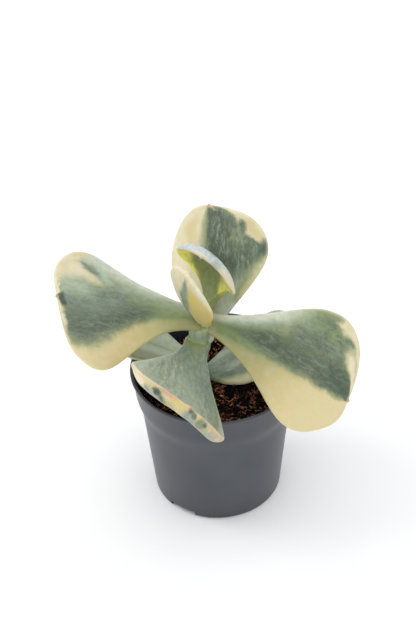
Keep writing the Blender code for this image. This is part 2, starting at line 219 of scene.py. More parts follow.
# Right leaf: green above and butter below, with a cream edge at the far end
RIGHT_STREAKS = (
    Streak("green", -0.3, 0.75, (0.2, 0.44, 0.48), (0.8, 0.66, 0.54), 0.3, 0.5),
    Streak("green", 0.48, 1.3, (0.52, 0.54), (0.54, 0.52), 0.3, 0.26),
    Streak("moss", -0.3, 0.5, (0.1, 0.12), (0.56, 0.4), 0.4, 0.6, strength=0.8),
    Streak("deep", 0.18, 0.62, (0.3, 0.22, 0.16), (0.12, 0.24, 0.18), 0.26, 0.35),
    Streak("deep", 0.5, 1.1, (0.1, 0.18, 0.14), (0.12, 0.16, 0.12), 0.3, 0.26, strength=0.8),
    Streak("pale", -0.3, 0.66, (0.82, 0.92, 1.0), (0.5, 0.36, 0.16), 0.4, 0.6),
    # White along the upper edge: partly the skin's powder, partly painted sheen where that edge curves
    # away
    Streak("white", -0.3, 0.6, (0.9, 1.0, 1.04), (0.6, 0.34, 0.16), 0.2, 0.44),
    # Cream over the base: painted light that lifts the shade in the axil
    Streak("cream", -0.3, 0.08, 0.0, 1.4, 0.14, strength=0.5),
    Streak("moss", 0.5, 0.78, (0.78, 0.86, 0.84), (0.08, 0.12, 0.08), 0.12, 0.2, strength=0.4),
    Streak("deep", 0.62, 0.8, (0.84, 0.86), 0.04, 0.1, 0.14, strength=0.4),
    Streak("olive", 0.5, 0.84, 1.0, (0.08, 0.06), 0.2, 0.2, strength=0.7),
    Streak("cream", 0.78, 1.2, (0.98, 0.92, 0.9), (0.12, 0.24, 0.3), 0.06),
    Streak("cream", 0.88, 1.2, 0.66, (0.14, 0.2, 0.24), 0.13, 0.34),
    Streak("moss", 0.76, 0.91, (0.66, 0.86), (0.07, 0.05), 0.06, 0.12),
    Streak("green", 0.8, 0.9, (0.7, 0.84), (0.04, 0.03), 0.05, 0.1),
    Streak("deep", 0.76, 1.1, (0.12, 0.22, 0.26), (0.2, 0.24, 0.22), 0.1, 0.2),
    Streak("night", 0.84, 1.1, (0.16, 0.24, 0.26), (0.12, 0.2, 0.16), 0.12, 0.3, strength=0.6),
    Streak("night", 0.91, 1.1, (0.14, 0.26), (0.06, 0.08), 0.05, 0.1, strength=0.8),
    Streak("moss", 0.86, 0.97, (-0.04, -0.06), (0.05, 0.04), 0.06, 0.1, strength=0.8),
)
# Back leaf: cream with one broad green band, and cream again at its far right
BACK_STREAKS = (
    Streak("green", -0.3, 1.3, (-0.52, -0.52, -0.56), (0.48, 0.5, 0.54), 0.1, 0.26),
    # Pale and white near the stem: painted light that lifts the shadow of the young leaves above
    Streak("pale", -0.3, 0.48, -0.6, (0.7, 0.6), 0.4, 0.3, strength=0.9),
    Streak("white", -0.3, 0.38, (-0.7, -0.76), (0.7, 0.5), 0.3, 0.4, strength=0.9),
    Streak("deep", 0.46, 1.05, (-0.34, -0.22, -0.26), (0.24, 0.26, 0.26), 0.24, 0.3),
    Streak("deep", 0.48, 0.72, (-0.56, -0.66, -0.86), (0.2, 0.18, 0.08), 0.24, 0.3),
    Streak("moss", 0.3, 0.62, (-0.9, -0.92), (0.14, 0.1), 0.16, 0.2, strength=0.6),
    Streak("cream", 0.28, 0.64, (-1.04, -1.06, -1.06), (0.14, 0.2, 0.1), 0.1, 0.4, strength=0.8),
    Streak("butter", 0.965, 1.1, 0.0, 0.34, 0.03, 0.2, strength=0.7),
    Streak("cream", 0.73, 1.02, (-0.9, -0.93, -1.04), (0.12, 0.28, 0.14), 0.07, 0.22),
    Streak("butter", 0.76, 0.9, (-0.84, -0.8), (0.1, 0.12), 0.08, 0.2, strength=0.7),
    Streak("green", 0.74, 0.9, (-0.52, -0.76), (0.1, 0.04), 0.08, 0.14),
    Streak("night", 0.64, 0.77, (-0.9, -0.98), (0.07, 0.05), 0.06, 0.12, strength=0.8),
    Streak("night", 0.6, 0.97, (-0.12, -0.08, -0.05), (0.04, 0.06, 0.06), 0.14, 0.14, strength=0.6),
    Streak("moss", 0.5, 0.98, (0.04, 0.08, 0.05), (0.04, 0.08, 0.06), 0.2, 0.2, strength=0.7),
    Streak("butter", 0.68, 0.92, (0.4, 0.52, 0.44), (0.08, 0.16, 0.1), 0.16, 0.3, strength=0.8),
)
# Front leaf: bluish green, with cream only in the band that curls up
FRONT_STREAKS = (
    Streak("green", -0.3, 0.8, 0.0, 1.3, 0.03),
    Streak("blue", -0.3, 0.8, 0.0, 1.3, 0.03, strength=0.75),
    Streak("pale", 0.36, 0.8, (-0.2, -0.3, -0.2), (0.4, 0.7, 1.3), 0.3, 0.6, strength=0.6),
    Streak("olive", -0.3, 0.08, 0.0, 1.4, 0.14, strength=0.8),
    Streak("pale", -0.3, 0.02, 0.0, 1.4, 0.02, strength=0.8),
    Streak("axil", 0.02, 0.04, 0.0, 0.9, 0.02, strength=0.8),
    Streak("moss", 0.02, 0.3, (-0.1, 0.05), (0.4, 0.3), 0.2, 0.7, strength=0.25),
    Streak("chalk", 0.22, 0.7, (-0.6, -0.5, -0.26), (0.1, 0.26, 0.2), 0.2, 0.5, strength=0.5),
    Streak("chalk", 0.38, 0.8, (0.34, 0.44, 0.5), (0.05, 0.16, 0.3), 0.2, 0.3, strength=0.5),
    Streak("green", 0.3, 0.8, (0.86, 0.74), (0.1, 0.12), 0.2, 0.3, strength=0.5),
    Streak("white", 0.1, 0.75, (1.02, 1.0), (0.1, 0.12), 0.2, 0.16, strength=0.5),
    Streak("white", 0.1, 0.75, (-1.02, -1.0), (0.1, 0.2), 0.2, 0.3, strength=0.6),
)
FRONT_SPOTS = (
    Spot("cream", -76, 0.08, (28, 0.2), 0.8),
    Spot("blush", -72, 0.11, (22, 0.05), 0.14),
    Spot("blue", -44, 0.22, (10, 0.08), 0.6),
    Spot("green", -54, 0.28, (12, 0.08), 0.4),
    Spot("cream", -58, 0.05, (18, 0.1), 0.9),
    Spot("green", -41, 0.11, (3.0, 0.04), 0.8),
    Spot("blush", -50, 0.03, (10, 0.02), 0.35),
    Spot("butter", -38, 0.02, (12, 0.03), 0.6),
    Spot("blue", -32, 0.2, (8, 0.12), 0.8),
    Spot("night", -30, 0.08, (4.6, 0.05), 1.0),
    Spot("night", -23.5, 0.135, (4.6, 0.05), 0.95),
    Spot("butter", -13, 0.1, (10, 0.2), 0.7),
    Spot("gold", -10, 0.02, (10, 0.05), 0.8),
    Spot("olive", -17, 0.2, (8, 0.1), 0.6),
    Spot("blue", 6, 0.14, (10, 0.12), 0.9),
    Spot("night", 3, 0.02, (3.4, 0.05), 0.9),
    Spot("deep", 9, 0.06, (4, 0.04), 0.8),
    Spot("gold", 15, 0.03, (4, 0.03), 0.6),
    Spot("green", 21, 0.1, (6, 0.09), 0.8),
    Spot("night", 24.5, 0.06, (2.2, 0.03), 0.8),
    Spot("gold", 33, 0.015, (8, 0.03), 0.6),
    Spot("blush", 34, 0.01, (9, 0.02), 0.3),
    Spot("blue", 36, 0.18, (12, 0.1), 0.6),
    Spot("green", 58, 0.12, (8, 0.035), 0.6),
    Spot("blush", -20, 0.015, (9, 0.03), 0.7),
    Spot("blush", -1, 0.0, (2.2, 0.025), 0.75),
    Spot("blush", 56, 0.03, (8, 0.022), 0.8),
    Spot("blush", 71, 0.065, (7, 0.03), 0.8),
)
# Young back leaf: green inside, with yellow sides that are painted light shining through the thin blade
YOUNG_BACK_STREAKS = (
    Streak("fresh", -0.3, 1.3, 0.0, 1.4, 0.1, 0.2),
    Streak("sun", 0.36, 1.1, (0.95, 0.9, 0.8), (0.1, 0.36, 0.5), 0.2, 0.3),
    Streak("fresh", 0.4, 0.8, (0.58, 0.5), 0.05, 0.14, 0.16, strength=0.9),
    Streak("sun", 0.26, 0.62, (-0.85, -0.72, -0.7), (0.14, 0.3, 0.3), 0.16, 0.3, strength=0.75),
)
YOUNG_BACK_SPOTS = (
    Spot("frost", 20, 0.25, (110, 0.34), 1.0),
    Spot("cream", -70, 0.15, (30, 0.22), 0.8),
    Spot("frost", -45, 0.3, (34, 0.22), 0.8),
    Spot("blue", -12, 0.28, (9, 0.12), 0.6),
    Spot("cream", 4, 0.045, (18, 0.05), 0.7),
    Spot("cream", -45, 0.06, (26, 0.08), 0.7),
    Spot("blue", 52, 0.25, (20, 0.1), 0.35),
    Spot("blue", -26, 0.08, (8, 0.08), 0.5),
)
# Young front leaf: cream and gold round one bluish stripe
YOUNG_FRONT_STREAKS = (
    Streak("gold", -0.2, 0.84, (0.56, 0.6, 0.66), (0.7, 0.66, 0.5), 0.16, 0.3),
    Streak("white", 0.72, 1.1, (1.0, 0.86, 0.7), (0.08, 0.18, 0.2), 0.16, 0.3, strength=0.7),
    Streak("blue", -0.2, 0.93, (-0.46, -0.2, 0.12), (0.26, 0.24, 0.09), 0.08, 0.2),
    Streak("deep", -0.2, 0.62, (-0.54, -0.36, -0.22), (0.12, 0.1, 0.06), 0.1, 0.2, strength=0.6),
)
# Low left leaf: pale all over with an olive edge
LOW_LEFT_STREAKS = (
    Streak("green", -0.3, 1.3, 0.0, 1.3, 0.1, 0.2),
    Streak("pale", -0.3, 1.3, 0.0, 1.0, 0.1, 0.6),
    Streak("white", 0.2, 1.0, (0.4, 0.5), 0.2, 0.2, 0.4, strength=0.6),
    Streak("green", 0.1, 0.9, (0.0, 0.05), (0.06, 0.1), 0.2, 0.3, strength=0.5),
    Streak("olive", -0.3, 1.3, (0.8, 0.7), (0.35, 0.3), 0.1, 0.4, strength=0.8),
)
# Low right leaf: bluish green with a cream edge
LOW_RIGHT_STREAKS = (
    Streak("green", -0.3, 1.3, 0.0, 1.3, 0.1, 0.2),
    Streak("blue", -0.3, 1.3, 0.2, 0.6, 0.1, 0.5, strength=0.7),
    Streak("pale", 0.2, 1.3, (-0.1, -0.3), (0.08, 0.16), 0.2, 0.3, strength=0.7),
    Streak("pale", 0.05, 1.3, (0.7, 0.6), 0.2, 0.2, 0.3, strength=0.5),
    Streak("deep", 0.3, 0.8, (0.25, 0.05), (0.05, 0.14), 0.2, 0.2, strength=0.7),
    Streak("cream", 0.1, 1.3, (-1.02, -0.74, -0.46), (0.16, 0.34, 0.5), 0.16, 0.5, strength=0.6,
           halo=0.9),
    Streak("pale", 0.16, 0.46, (-0.4, 0.0), (0.05, 0.1), 0.1, 0.2, strength=0.7),
    Streak("night", 0.18, 0.2, 0.06, 0.03, 0.02, 0.05),
    # White along the upper far edge: painted highlight
    Streak("white", 0.5, 1.1, (1.0, 0.9), (0.2, 0.24), 0.1, 0.3, strength=0.8),
)

LEAVES = (
    Leaf("left", start=(-5.2, 1.2, 68.5), heading=178.8, sweep=22.9, rise=(15.6, 20.9, 22),
         roll=(-12.1, -23.7), length=45.9, half_width=21.1, neck=4.5, widest=0.76, flare=1.9,
         roundness=2.43, lean=0.21, cup=-8, wave=-2.6, wave_start=-33, lobes=((-29, 0.4), (35, 1.0)),
         blush=0.35, flush=0.62, streaks=LEFT_STREAKS),
    Leaf("right", start=(-2.0, 0.0, 66.7), heading=-34.2, sweep=-8.1, rise=(1.4, -6.7, -5.4),
         roll=(51.7, 58), length=52.7, half_width=19.2, neck=3.3, widest=0.77, flare=1.67,
         roundness=2.1, lean=0.16, cup=5.8, wave=-3.2, lobes=((-23, 0.8),), bloom=(0.2, 0.6),
         blush=0.35, flush=0.74, streaks=RIGHT_STREAKS),
    Leaf("back", start=(-4.4, 1.0, 60.2), heading=80.5, sweep=2.5, rise=(49, 47, 57.7), roll=(-10, -31),
         length=42.5, half_width=17.5, neck=3.6, widest=0.66, flare=1.47, roundness=2.15, lean=-0.25,
         wave=1.2, wave_start=-37, lobes=((-44, 0.6),), ground="cream", blush=0.5, flush=0.3, veins=1.0,
         streaks=BACK_STREAKS),
    Leaf("front", start=(-5.4, -2.3, 61.1), heading=-97.9, sweep=7.3, rise=(-13.2, 12.2, 48.9),
         roll=(-43.3, -38), length=49.9, half_width=17.7, neck=3.4, widest=0.6, flare=1.63,
         roundness=3.1, lean=-0.19, cup=-12, curl=91, curl_from=0.78, curl_reach=116, clasp=25,
         flush=0.0, bloom=(0.5, 0.1), blush=0.5, ground="cream", streaks=FRONT_STREAKS,
         spots=FRONT_SPOTS),
    Leaf("young_back", start=(-3.4, 1.5, 69.1), heading=57.5, sweep=3.5, rise=(18, 90, 151),
         roll=(-26, -14), length=30.3, half_width=14.1, neck=2.2, widest=0.59, flare=2.6,
         roundness=1.95, lean=-0.015, cup=33.7, curl=73, curl_from=0.73, curl_reach=94, flush=0.0,
         bloom=(0.0, 0.3), blush=0.0, ground="cream", streaks=YOUNG_BACK_STREAKS,
         spots=YOUNG_BACK_SPOTS),
    Leaf("young_front", start=(-2.9, -1.8, 69.3), heading=-130.5, sweep=-11.8, rise=(43.8, 74.6, 95.7),
         roll=(-11.6, -10.5), length=24.7, half_width=11.7, neck=2.6, widest=0.65, flare=1.37,
         roundness=1.71, lean=-0.04, cup=17.3, flush=0.0, bloom=(0.1, 0.2), blush=0.0, ground="cream",
         streaks=YOUNG_FRONT_STREAKS),
    Leaf("low_left", start=(-6.3, 0.0, 49.8), heading=168, sweep=-2, rise=(20, 26, 17), roll=(10, 2),
         length=41.1, half_width=14.0, neck=3.5, widest=0.72, flare=1.15, roundness=2.2, cup=15,
         flush=0.0, bloom=(0.4, 0.6), blush=0.2, streaks=LOW_LEFT_STREAKS),
    Leaf("low_right", start=(-2.7, 0.0, 46.8), heading=4.7, sweep=-11.5, rise=(4, 38, 21),
         roll=(5.7, -0.3), length=35.4, half_width=13.9, neck=2.4, widest=0.63, flare=0.94,
         roundness=1.7, lean=-0.06, cup=12.7, lobes=((62, 0.7),), flush=0.0, bloom=(0.4, 0.6),
         blush=0.2, streaks=LOW_RIGHT_STREAKS),
)

BLADE_ROWS = 116           # faces along a blade
BLADE_RING = 152           # faces round its cross-section
END_ROWS = 0.56            # share of the rows in the rounded end
BASE_REACH = 2.4           # how far the base runs on inside the stem
CLASP_SHARE = 0.3          # share of the length over which the base's own turn dies away
LOBE_SPREAD = 18.0         # how many degrees round the end a lobe reaches
LOBE_FADE = 0.3            # share of the rounded end over which lobes set in
LOBE_CORE = 3.0            # radius round the end's centre that lobes leave alone
THICKNESS = ((0.0, 3.0), (0.06, 3.0), (0.35, 1.85), (0.85, 1.6), (1.0, 1.6))    # along the blade
EDGE_THINNING = 0.22       # how much thinner it is at its edges
EDGE_CROWDING = 0.75       # how far the faces crowd towards the edges
EDGE_ROUND = 0.85          # width of the rounded edge
POINT_LENGTH = 0.45        # the small hard point at the tip
POINT_WIDTH = 0.4
POINT_START = 0.7          # how far from the tip the point sets in
SWELLS = ((0.30, 9.0), (0.12, 4.0))    # height and size of the slow swells of the skin
GROOVE_HEIGHT = 0.035      # fine grooves along the blade
GROOVE_SIZE = 1.3
GROOVE_STRETCH = 0.22
CALM_SHARE = 0.25          # share of the length over which swells and grooves set in
MIDRIB_STEPS = 80
SLOPE_STEP = 0.02          # distance over which a surface's slope is measured

# The soil: its crumbs as size and share of the relief, and how its sheet of faces is shared out
CRUMBS = ((3.4, 0.55), (1.7, 0.35), (0.85, 0.18))
SOIL_RINGS = 150
SOIL_STEPS = 420
SOIL_TOP_SHARE = 0.8           # share of the rings on its top
SOIL_SIDE_SHARE = 0.6          # share of the other rings on its side
SOIL_INSET = 0.95              # from the pot's outer surface: its wall and a small gap
SOIL_FLOOR_GAP = 0.05
LITTER_SEED = 11
LITTER_INSET = 1.3             # from the pot's outer surface to the litter
STEM_CLEARANCE = 3.2           # from the stem's middle to the litter
CHIP_SHAPES = 6
SMALLEST_CHIP = 0.5
CHIP_RANGE = 1.7               # how much larger the largest one is
CHIP_RARITY = 2.4              # the higher, the fewer large chips
FIBRE_SHAPES = 5
FIBRE_SIZES = (1.8, 4.6)
FIBRE_RADIUS = 0.055           # as a share of its length

# The stage, in metres, and the camera's pan, tilt and roll in degrees
FLOOR_SIZE = 6.0
SKY_COLOR = (0.965, 0.98, 1.0, 1.0)
KEY_PLACE = (-0.55, 0.12, 0.62)
KEY_AIM = (0.0, 0.0, 0.05)
KEY_SIZE = 0.34
KEY_COLOR = (1.0, 0.985, 0.95)
CAMERA_TRIM = (-0.232, 4.914, -1.636)
SENSOR_HEIGHT = 36.0           # millimetres
LOOK_AT_Z = 22.0               # millimetres over the ground


class PotSettings(bpy.types.PropertyGroup):
    """Sizes and colours of the nursery pot"""
    height: length("Height", "Height of the rim over the ground", POT_BOX[1].z)
    rim_radius: length("Rim radius", "Outer radius of the rim", (POT_BOX[1].x - POT_BOX[0].x) / 2)
    wall: length("Wall", "Thickness of the plastic", 0.9 * MM)
    steps: IntProperty(name="Steps", description="Faces round the pot", default=180)
    plastic: colour("Plastic", "Colour of the plastic", 32, 38, 48)
    scuffs: colour("Scuffs", "Colour of dust and light scuffs", 112, 114, 115)


class SoilSettings(bpy.types.PropertyGroup):
    """Shape, litter and colours of the potting soil"""
    edge_height: length("Level", "Height of the soil at the pot's wall", 41.0 * MM)
    heap: length("Heap", "Rise of the soil towards the stem", 3.0 * MM)
    relief: length("Relief", "Height of the crumbs", 1.9 * MM)
    chips: IntProperty(name="Chips", description="Loose chips of bark and peat", default=2600)
    fibres: IntProperty(name="Fibres", description="Loose fibres", default=1300)
    peat: colour("Peat", "Colour of the damp peat", 12, 7, 5)
    bark: colour("Bark", "Colour of the lighter chips", 184, 120, 86)


class LeafSettings(bpy.types.PropertyGroup):
    """Colours of the blades"""
    cream: colour("Cream", "Palest part of the variegation", 219, 209, 176)
    butter: colour("Butter", "Yellow part of the variegation", 205, 187, 128)
    # Painted shade: cream dulled on the band that curls under
    shaded_cream: colour("Sand", "Dull cream of the curled edges", 172, 165, 135)
    gold: colour("Gold", "Warm yellow of the youngest leaves", 206, 186, 104)
    olive: colour("Olive", "Yellowish green between cream and green", 148, 152, 108)
    moss: colour("Moss", "Clear green near the stem", 134, 152, 96)
    green: colour("Green", "Green under its powder", 98, 111, 86)
    deep: colour("Deep green", "Darker green, where the powder is thin", 75, 88, 67)
    night: colour("Darkest green", "Small dark marks", 62, 78, 66)
    pale: colour("Pale green", "Washed-out green beside the cream", 174, 187, 162)
    white: colour("White", "Powdery white along some edges", 210, 213, 196)
    fresh: colour("Fresh green", "Green inside the youngest leaves", 132, 142, 84)
    sun: colour("Yellow green", "Yellow light through the youngest leaves", 252, 244, 114)
    frost: colour("Frost", "Bluish white outside the youngest leaves", 176, 183, 190)
    bloom: colour("Bloom", "Bluish powder on the skin", 146, 159, 146)
    blush: colour("Blush", "Pink of the edges and points", 212, 138, 116)
    axil: colour("Axil", "Bright green where the leaves join the stem", 128, 150, 50)


class StemSettings(bpy.types.PropertyGroup):
    """Colours of the stem"""
    skin: colour("Skin", "Colour of the young stem", 168, 180, 146)
    cork: colour("Cork", "Colour of the older stem at the soil", 146, 128, 96)


class StageSettings(bpy.types.PropertyGroup):
    """Floor, light and camera"""
    floor: FloatVectorProperty(
        name="Floor", description="Colour of the floor", default=(0.97, 0.97, 0.97), subtype="COLOR")
    sky: FloatProperty(
        name="Fill", description="Strength of the even light from all round", default=1.12)
    key: FloatProperty(
        name="Key", description="Power of the soft light at the upper left, in watts", default=1.3)
    distance: length("Distance", "Camera distance from the pot's middle", 0.450)
    elevation: FloatProperty(
        name="Elevation", description="How far the camera looks down",
        default=math.radians(43.57), subtype="ANGLE")
    lens: FloatProperty(name="Lens", description="Focal length in millimetres", default=77.1)


def smooth_step(value):
    value = np.clip(value, 0.0, 1.0)
    return value * value * (3.0 - 2.0 * value)


def ripple(points, size, seed):
    """Smooth random values, about -1 to 1, at an array of points, for bumps of the given size."""
    shift = Vector((seed * 17.3, seed * 5.9, seed * 11.1))
    return np.array([noise.noise(Vector(point) / size + shift) for point in points])


def add_primitive(operator, **settings):
    """Add one of Blender's primitives, with nothing else selected."""
    bpy.ops.object.select_all(action="DESELECT")
    operator(**settings)
    return bpy.context.active_object


@contextmanager
def editing(piece):
    """Edit mode on one piece, with all of it selected at first."""
    use(piece)
    bpy.ops.object.mode_set(mode="EDIT")
    bpy.ops.mesh.select_all(action="SELECT")
    yield
    bpy.ops.object.mode_set(mode="OBJECT")


def name_piece(piece, name):
    piece.name = name
    piece.data.name = name


def flat_sheet(name, columns, rows):
    """A flat grid to be bent: the object, and each point's place on it, 0 to 1 each way."""
    piece = add_primitive(bpy.ops.mesh.primitive_grid_add,
                          x_subdivisions=columns, y_subdivisions=rows, size=2.0)
    name_piece(piece, name)
    points = np.zeros(len(piece.data.vertices) * 3)
    piece.data.vertices.foreach_get("co", points)
    points = points.reshape(-1, 3)
    return piece, (points[:, 0] + 1) / 2, (points[:, 1] + 1) / 2


def bend_sheet(piece, points, facts=None):
    """Move the sheet's points, note facts of each point as attributes, and close its seams."""
    mesh = piece.data
    mesh.vertices.foreach_set("co", np.asarray(points, float).ravel())
    for name, values in (facts or {}).items():
        layer = mesh.attributes.new(name, "FLOAT_VECTOR", "POINT")
        layer.data.foreach_set("vector", np.asarray(values, float).ravel())
    while mesh.uv_layers:
        mesh.uv_layers.remove(mesh.uv_layers[0])
    close_up(piece)
    return piece


def close_up(piece):
    """Merge points that lie on each other and turn every face outwards."""
    with editing(piece):
        bpy.ops.mesh.remove_doubles(threshold=MERGE_DISTANCE)
        bpy.ops.mesh.normals_make_consistent(inside=False)
    bpy.ops.object.shade_smooth()


def use(piece):
    """Make the piece the only selected object."""
    bpy.ops.object.select_all(action="DESELECT")
    piece.select_set(True)
    bpy.context.view_layer.objects.active = piece


def apply_modifier(piece, kind, **settings):
    modifier = piece.modifiers.new(kind.lower(), kind)
    for name, value in settings.items():
        setattr(modifier, name, value)
    use(piece)
    bpy.ops.object.modifier_apply(modifier=modifier.name)


def finish_piece(piece, material, slot, *nodes):
    """Give a piece its material and its body, and hide the nodes that it stands for. The slot is not
    used.
    """
    piece.data.materials.clear()
    piece.data.materials.append(material)
    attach(piece, "root")
    if nodes:
        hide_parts(*nodes)


class Signal:
    """One value in a material's nodes. Arithmetic on it adds Math nodes."""

    def __init__(self, paint, socket):
        self.paint = paint
        self.socket = socket

    def math(self, operation, *values):
        return self.paint.node("ShaderNodeMath", {"operation": operation}, values)

    def __add__(self, other):
        return self.math("ADD", self, other)

    __radd__ = __add__

    def __sub__(self, other):
        return self.math("SUBTRACT", self, other)

    def __rsub__(self, other):
        return self.math("SUBTRACT", other, self)

    def __mul__(self, other):
        return self.math("MULTIPLY", self, other)

    __rmul__ = __mul__

    def __truediv__(self, other):
        return self.math("DIVIDE", self, other)

    def __abs__(self):
        return self.math("ABSOLUTE", self)

    def at_most(self, other):
        return self.math("MINIMUM", self, other)

    def at_least(self, other):
        return self.math("MAXIMUM", self, other)

    def rises(self, low, high):
        """0 below the low value, 1 above the high one and smooth between them."""
        settings = {"interpolation_type": "SMOOTHSTEP"}
        return self.paint.node("ShaderNodeMapRange", settings, (self, low, high))

    def falls(self, low, high):
        return 1.0 - self.rises(low, high)


class Paint:
    """The nodes of one material, around its Principled shader."""

    def __init__(self, name, **constants):
        self.material = bpy.data.materials.new(name)
        self.material.use_nodes = True
        self.tree = self.material.node_tree
        self.shader = self.tree.nodes["Principled BSDF"]
        for label, value in constants.items():
            self.port(label).default_value = value

    def port(self, label):
        """The shader's socket with this label, written in small letters with underscores."""
        return self.shader.inputs[label.replace("_", " ").title().replace("Ior", "IOR")]

    def feed(self, socket, value):
        if isinstance(value, Signal):
            self.tree.links.new(value.socket, socket)
        else:
            if socket.type == "RGBA" and len(value) == 3:
                value = (*value, 1.0)
            socket.default_value = value

    def node(self, kind, settings=None, values=(), output=0):
        """Add a node: its settings first, then the values or links of its sockets."""
        made = self.tree.nodes.new(kind)
        for name, value in (settings or {}).items():
            setattr(made, name, value)
        pairs = values.items() if isinstance(values, dict) else enumerate(values)
        for key, value in pairs:
            self.feed(made.inputs[key], value)
        return Signal(self, made.outputs[output])

    def place(self):
        """Object coordinates, in metres."""
        return self.node("ShaderNodeTexCoord", output="Object")

    def fact(self, name):
        return self.node("ShaderNodeAttribute", {"attribute_name": name}, output="Vector")

    def split(self, vector):
        made = self.node("ShaderNodeSeparateXYZ", None, (vector,))
        return [Signal(self, output) for output in made.socket.node.outputs]

    def stretch(self, vector, *factors):
        return self.node("ShaderNodeVectorMath", {"operation": "MULTIPLY"}, (vector, factors))

    def shift(self, vector, *amounts):
        return self.node("ShaderNodeVectorMath", {"operation": "ADD"}, (vector, amounts))

    def noise(self, vector, scale, detail=2.0, roughness=0.5, distortion=0.0):
        values = {"Vector": vector, "Scale": scale, "Detail": detail, "Roughness": roughness,
                  "Distortion": distortion}
        return self.node("ShaderNodeTexNoise", None, values)

    def mix(self, first, second, factor):
        settings = {"data_type": "RGBA", "clamp_factor": True}
        return self.node("ShaderNodeMix", settings, {0: factor, 6: first, 7: second}, output=2)

    def bump(self, height, strength, distance):
        values = {"Strength": strength, "Distance": distance, "Height": height}
        return self.node("ShaderNodeBump", None, values)

    def set(self, **signals):
        for label, value in signals.items():
            self.feed(self.port(label), value)
        return self.material


def midrib(leaf):
    """Points of the midrib with its direction, its left side and its upper side at each."""
    share = np.linspace(0.0, 1.0, MIDRIB_STEPS + 1)

    def direction(part):
        slope = np.radians(leaf.rise[0] * (1 - part) * (1 - 2 * part)
                           + leaf.rise[1] * 4 * part * (1 - part)
                           + leaf.rise[2] * part * (2 * part - 1))
        turn = np.radians(leaf.heading + leaf.sweep * part)
        flat = np.cos(slope)
        along = np.stack([flat * np.cos(turn), flat * np.sin(turn), np.sin(slope)], -1)
        left = np.stack([-np.sin(turn), np.cos(turn), 0 * turn], -1)
        return along, left

    middle = (share[:-1] + share[1:]) / 2
    steps = direction(middle)[0] * leaf.length / MIDRIB_STEPS
    points = np.array(leaf.start) + np.concatenate([[[0, 0, 0]], np.cumsum(steps, 0)])
    along, left = direction(share)
    up = np.cross(along, left)
    roll = leaf.roll[0] + (leaf.roll[1] - leaf.roll[0]) * share
    roll = np.radians(roll + leaf.clasp * (1 - smooth_step(share / CLASP_SHARE)))[:, None]
    side = np.cos(roll) * left + np.sin(roll) * up
    top = np.cos(roll) * up - np.sin(roll) * left
    return share, points, along, side, top


def half_width_at(leaf, part):
    """Half width of the blade: it opens out from the neck and closes in a rounded end."""
    opening = np.clip(part / leaf.widest, 0, 1)
    closing = np.clip((part - leaf.widest) / (1 - leaf.widest), 0, 1)
    neck = leaf.neck + (leaf.half_width - leaf.neck) * np.sin(np.pi / 2 * opening ** leaf.flare)
    end = leaf.half_width * (1 - closing ** leaf.roundness) ** (1 / leaf.roundness)
    within = np.clip(1 + part * leaf.length / BASE_REACH, 0, 1)
    base = leaf.neck * np.sqrt(1 - (1 - within) ** 2)
    return np.where(part < 0, base, np.where(part < leaf.widest, neck, end))


def side_width(leaf, offset):
    """The greatest half width on the side that the offset lies on."""
    return leaf.half_width * np.where(offset > 0, 1 + leaf.lean, 1 - leaf.lean)


def end_reach(leaf, part, offset):
    """How far out towards the rounded end a point lies: 1 on the outline."""
    ahead = np.clip((part - leaf.widest) / (1 - leaf.widest), 0, None)
    aside = np.abs(offset) / side_width(leaf, offset)
    reach = (ahead ** leaf.roundness + aside ** leaf.roundness) ** (1 / leaf.roundness)
    return np.maximum(reach, 1e-6), ahead, aside


def lobed(leaf, part, offset):
    """Push the rounded end out at a few angles from the tip: new share of length and new offset."""
    reach, ahead, aside = end_reach(leaf, part, offset)
    from_tip = np.degrees(np.arctan2(np.sign(offset) * aside, ahead))
    push = sum(amount * np.exp(-((from_tip - angle) / LOBE_SPREAD) ** 2)
               for angle, amount in leaf.lobes)
    distance = (part - leaf.widest) * leaf.length
    radius = np.hypot(distance, offset)
    scale = 1 + push * reach ** 2 * smooth_step(ahead / LOBE_FADE) / np.maximum(radius, LOBE_CORE)
    return leaf.widest + (part - leaf.widest) * scale, offset * scale


def curled(leaf, part, offset):
    """Turn the outer band of the blade up: new share of length, new offset and height."""
    ahead = (part - leaf.widest) / (1 - leaf.widest)
    wide = side_width(leaf, offset)
    here = np.where(ahead > 0, wide, half_width_at(leaf, part) * wide / leaf.half_width)
    aside = np.abs(offset) / np.maximum(here, 1e-6)
    from_tip = np.degrees(np.arctan2(aside, ahead))
    ahead = np.clip(ahead, 0, None)
    reach = np.maximum((ahead ** leaf.roundness + aside ** leaf.roundness) ** (1 / leaf.roundness), 1e-6)
    share = smooth_step((leaf.curl_reach - from_tip) / (0.5 * leaf.curl_reach))
    distance = ahead * (1 - leaf.widest) * leaf.length
    full = np.hypot(distance, offset) / reach
    band = (1 - leaf.curl_from) * full
    bend = np.maximum(np.radians(leaf.curl) * share / np.maximum(band, 1e-6), 1e-6)
    past = np.clip((reach - leaf.curl_from) * full, 0, None)
    inward = np.sin(bend * past) / bend
    height = (1 - np.cos(bend * past)) / bend
    outer = reach > leaf.curl_from
    scale = np.where(outer, (leaf.curl_from * full + inward) / (reach * full + 1e-9), 1.0)
    part = part + distance * (scale - 1) / leaf.length
    return part, offset * scale, np.where(outer, height, 0.0)


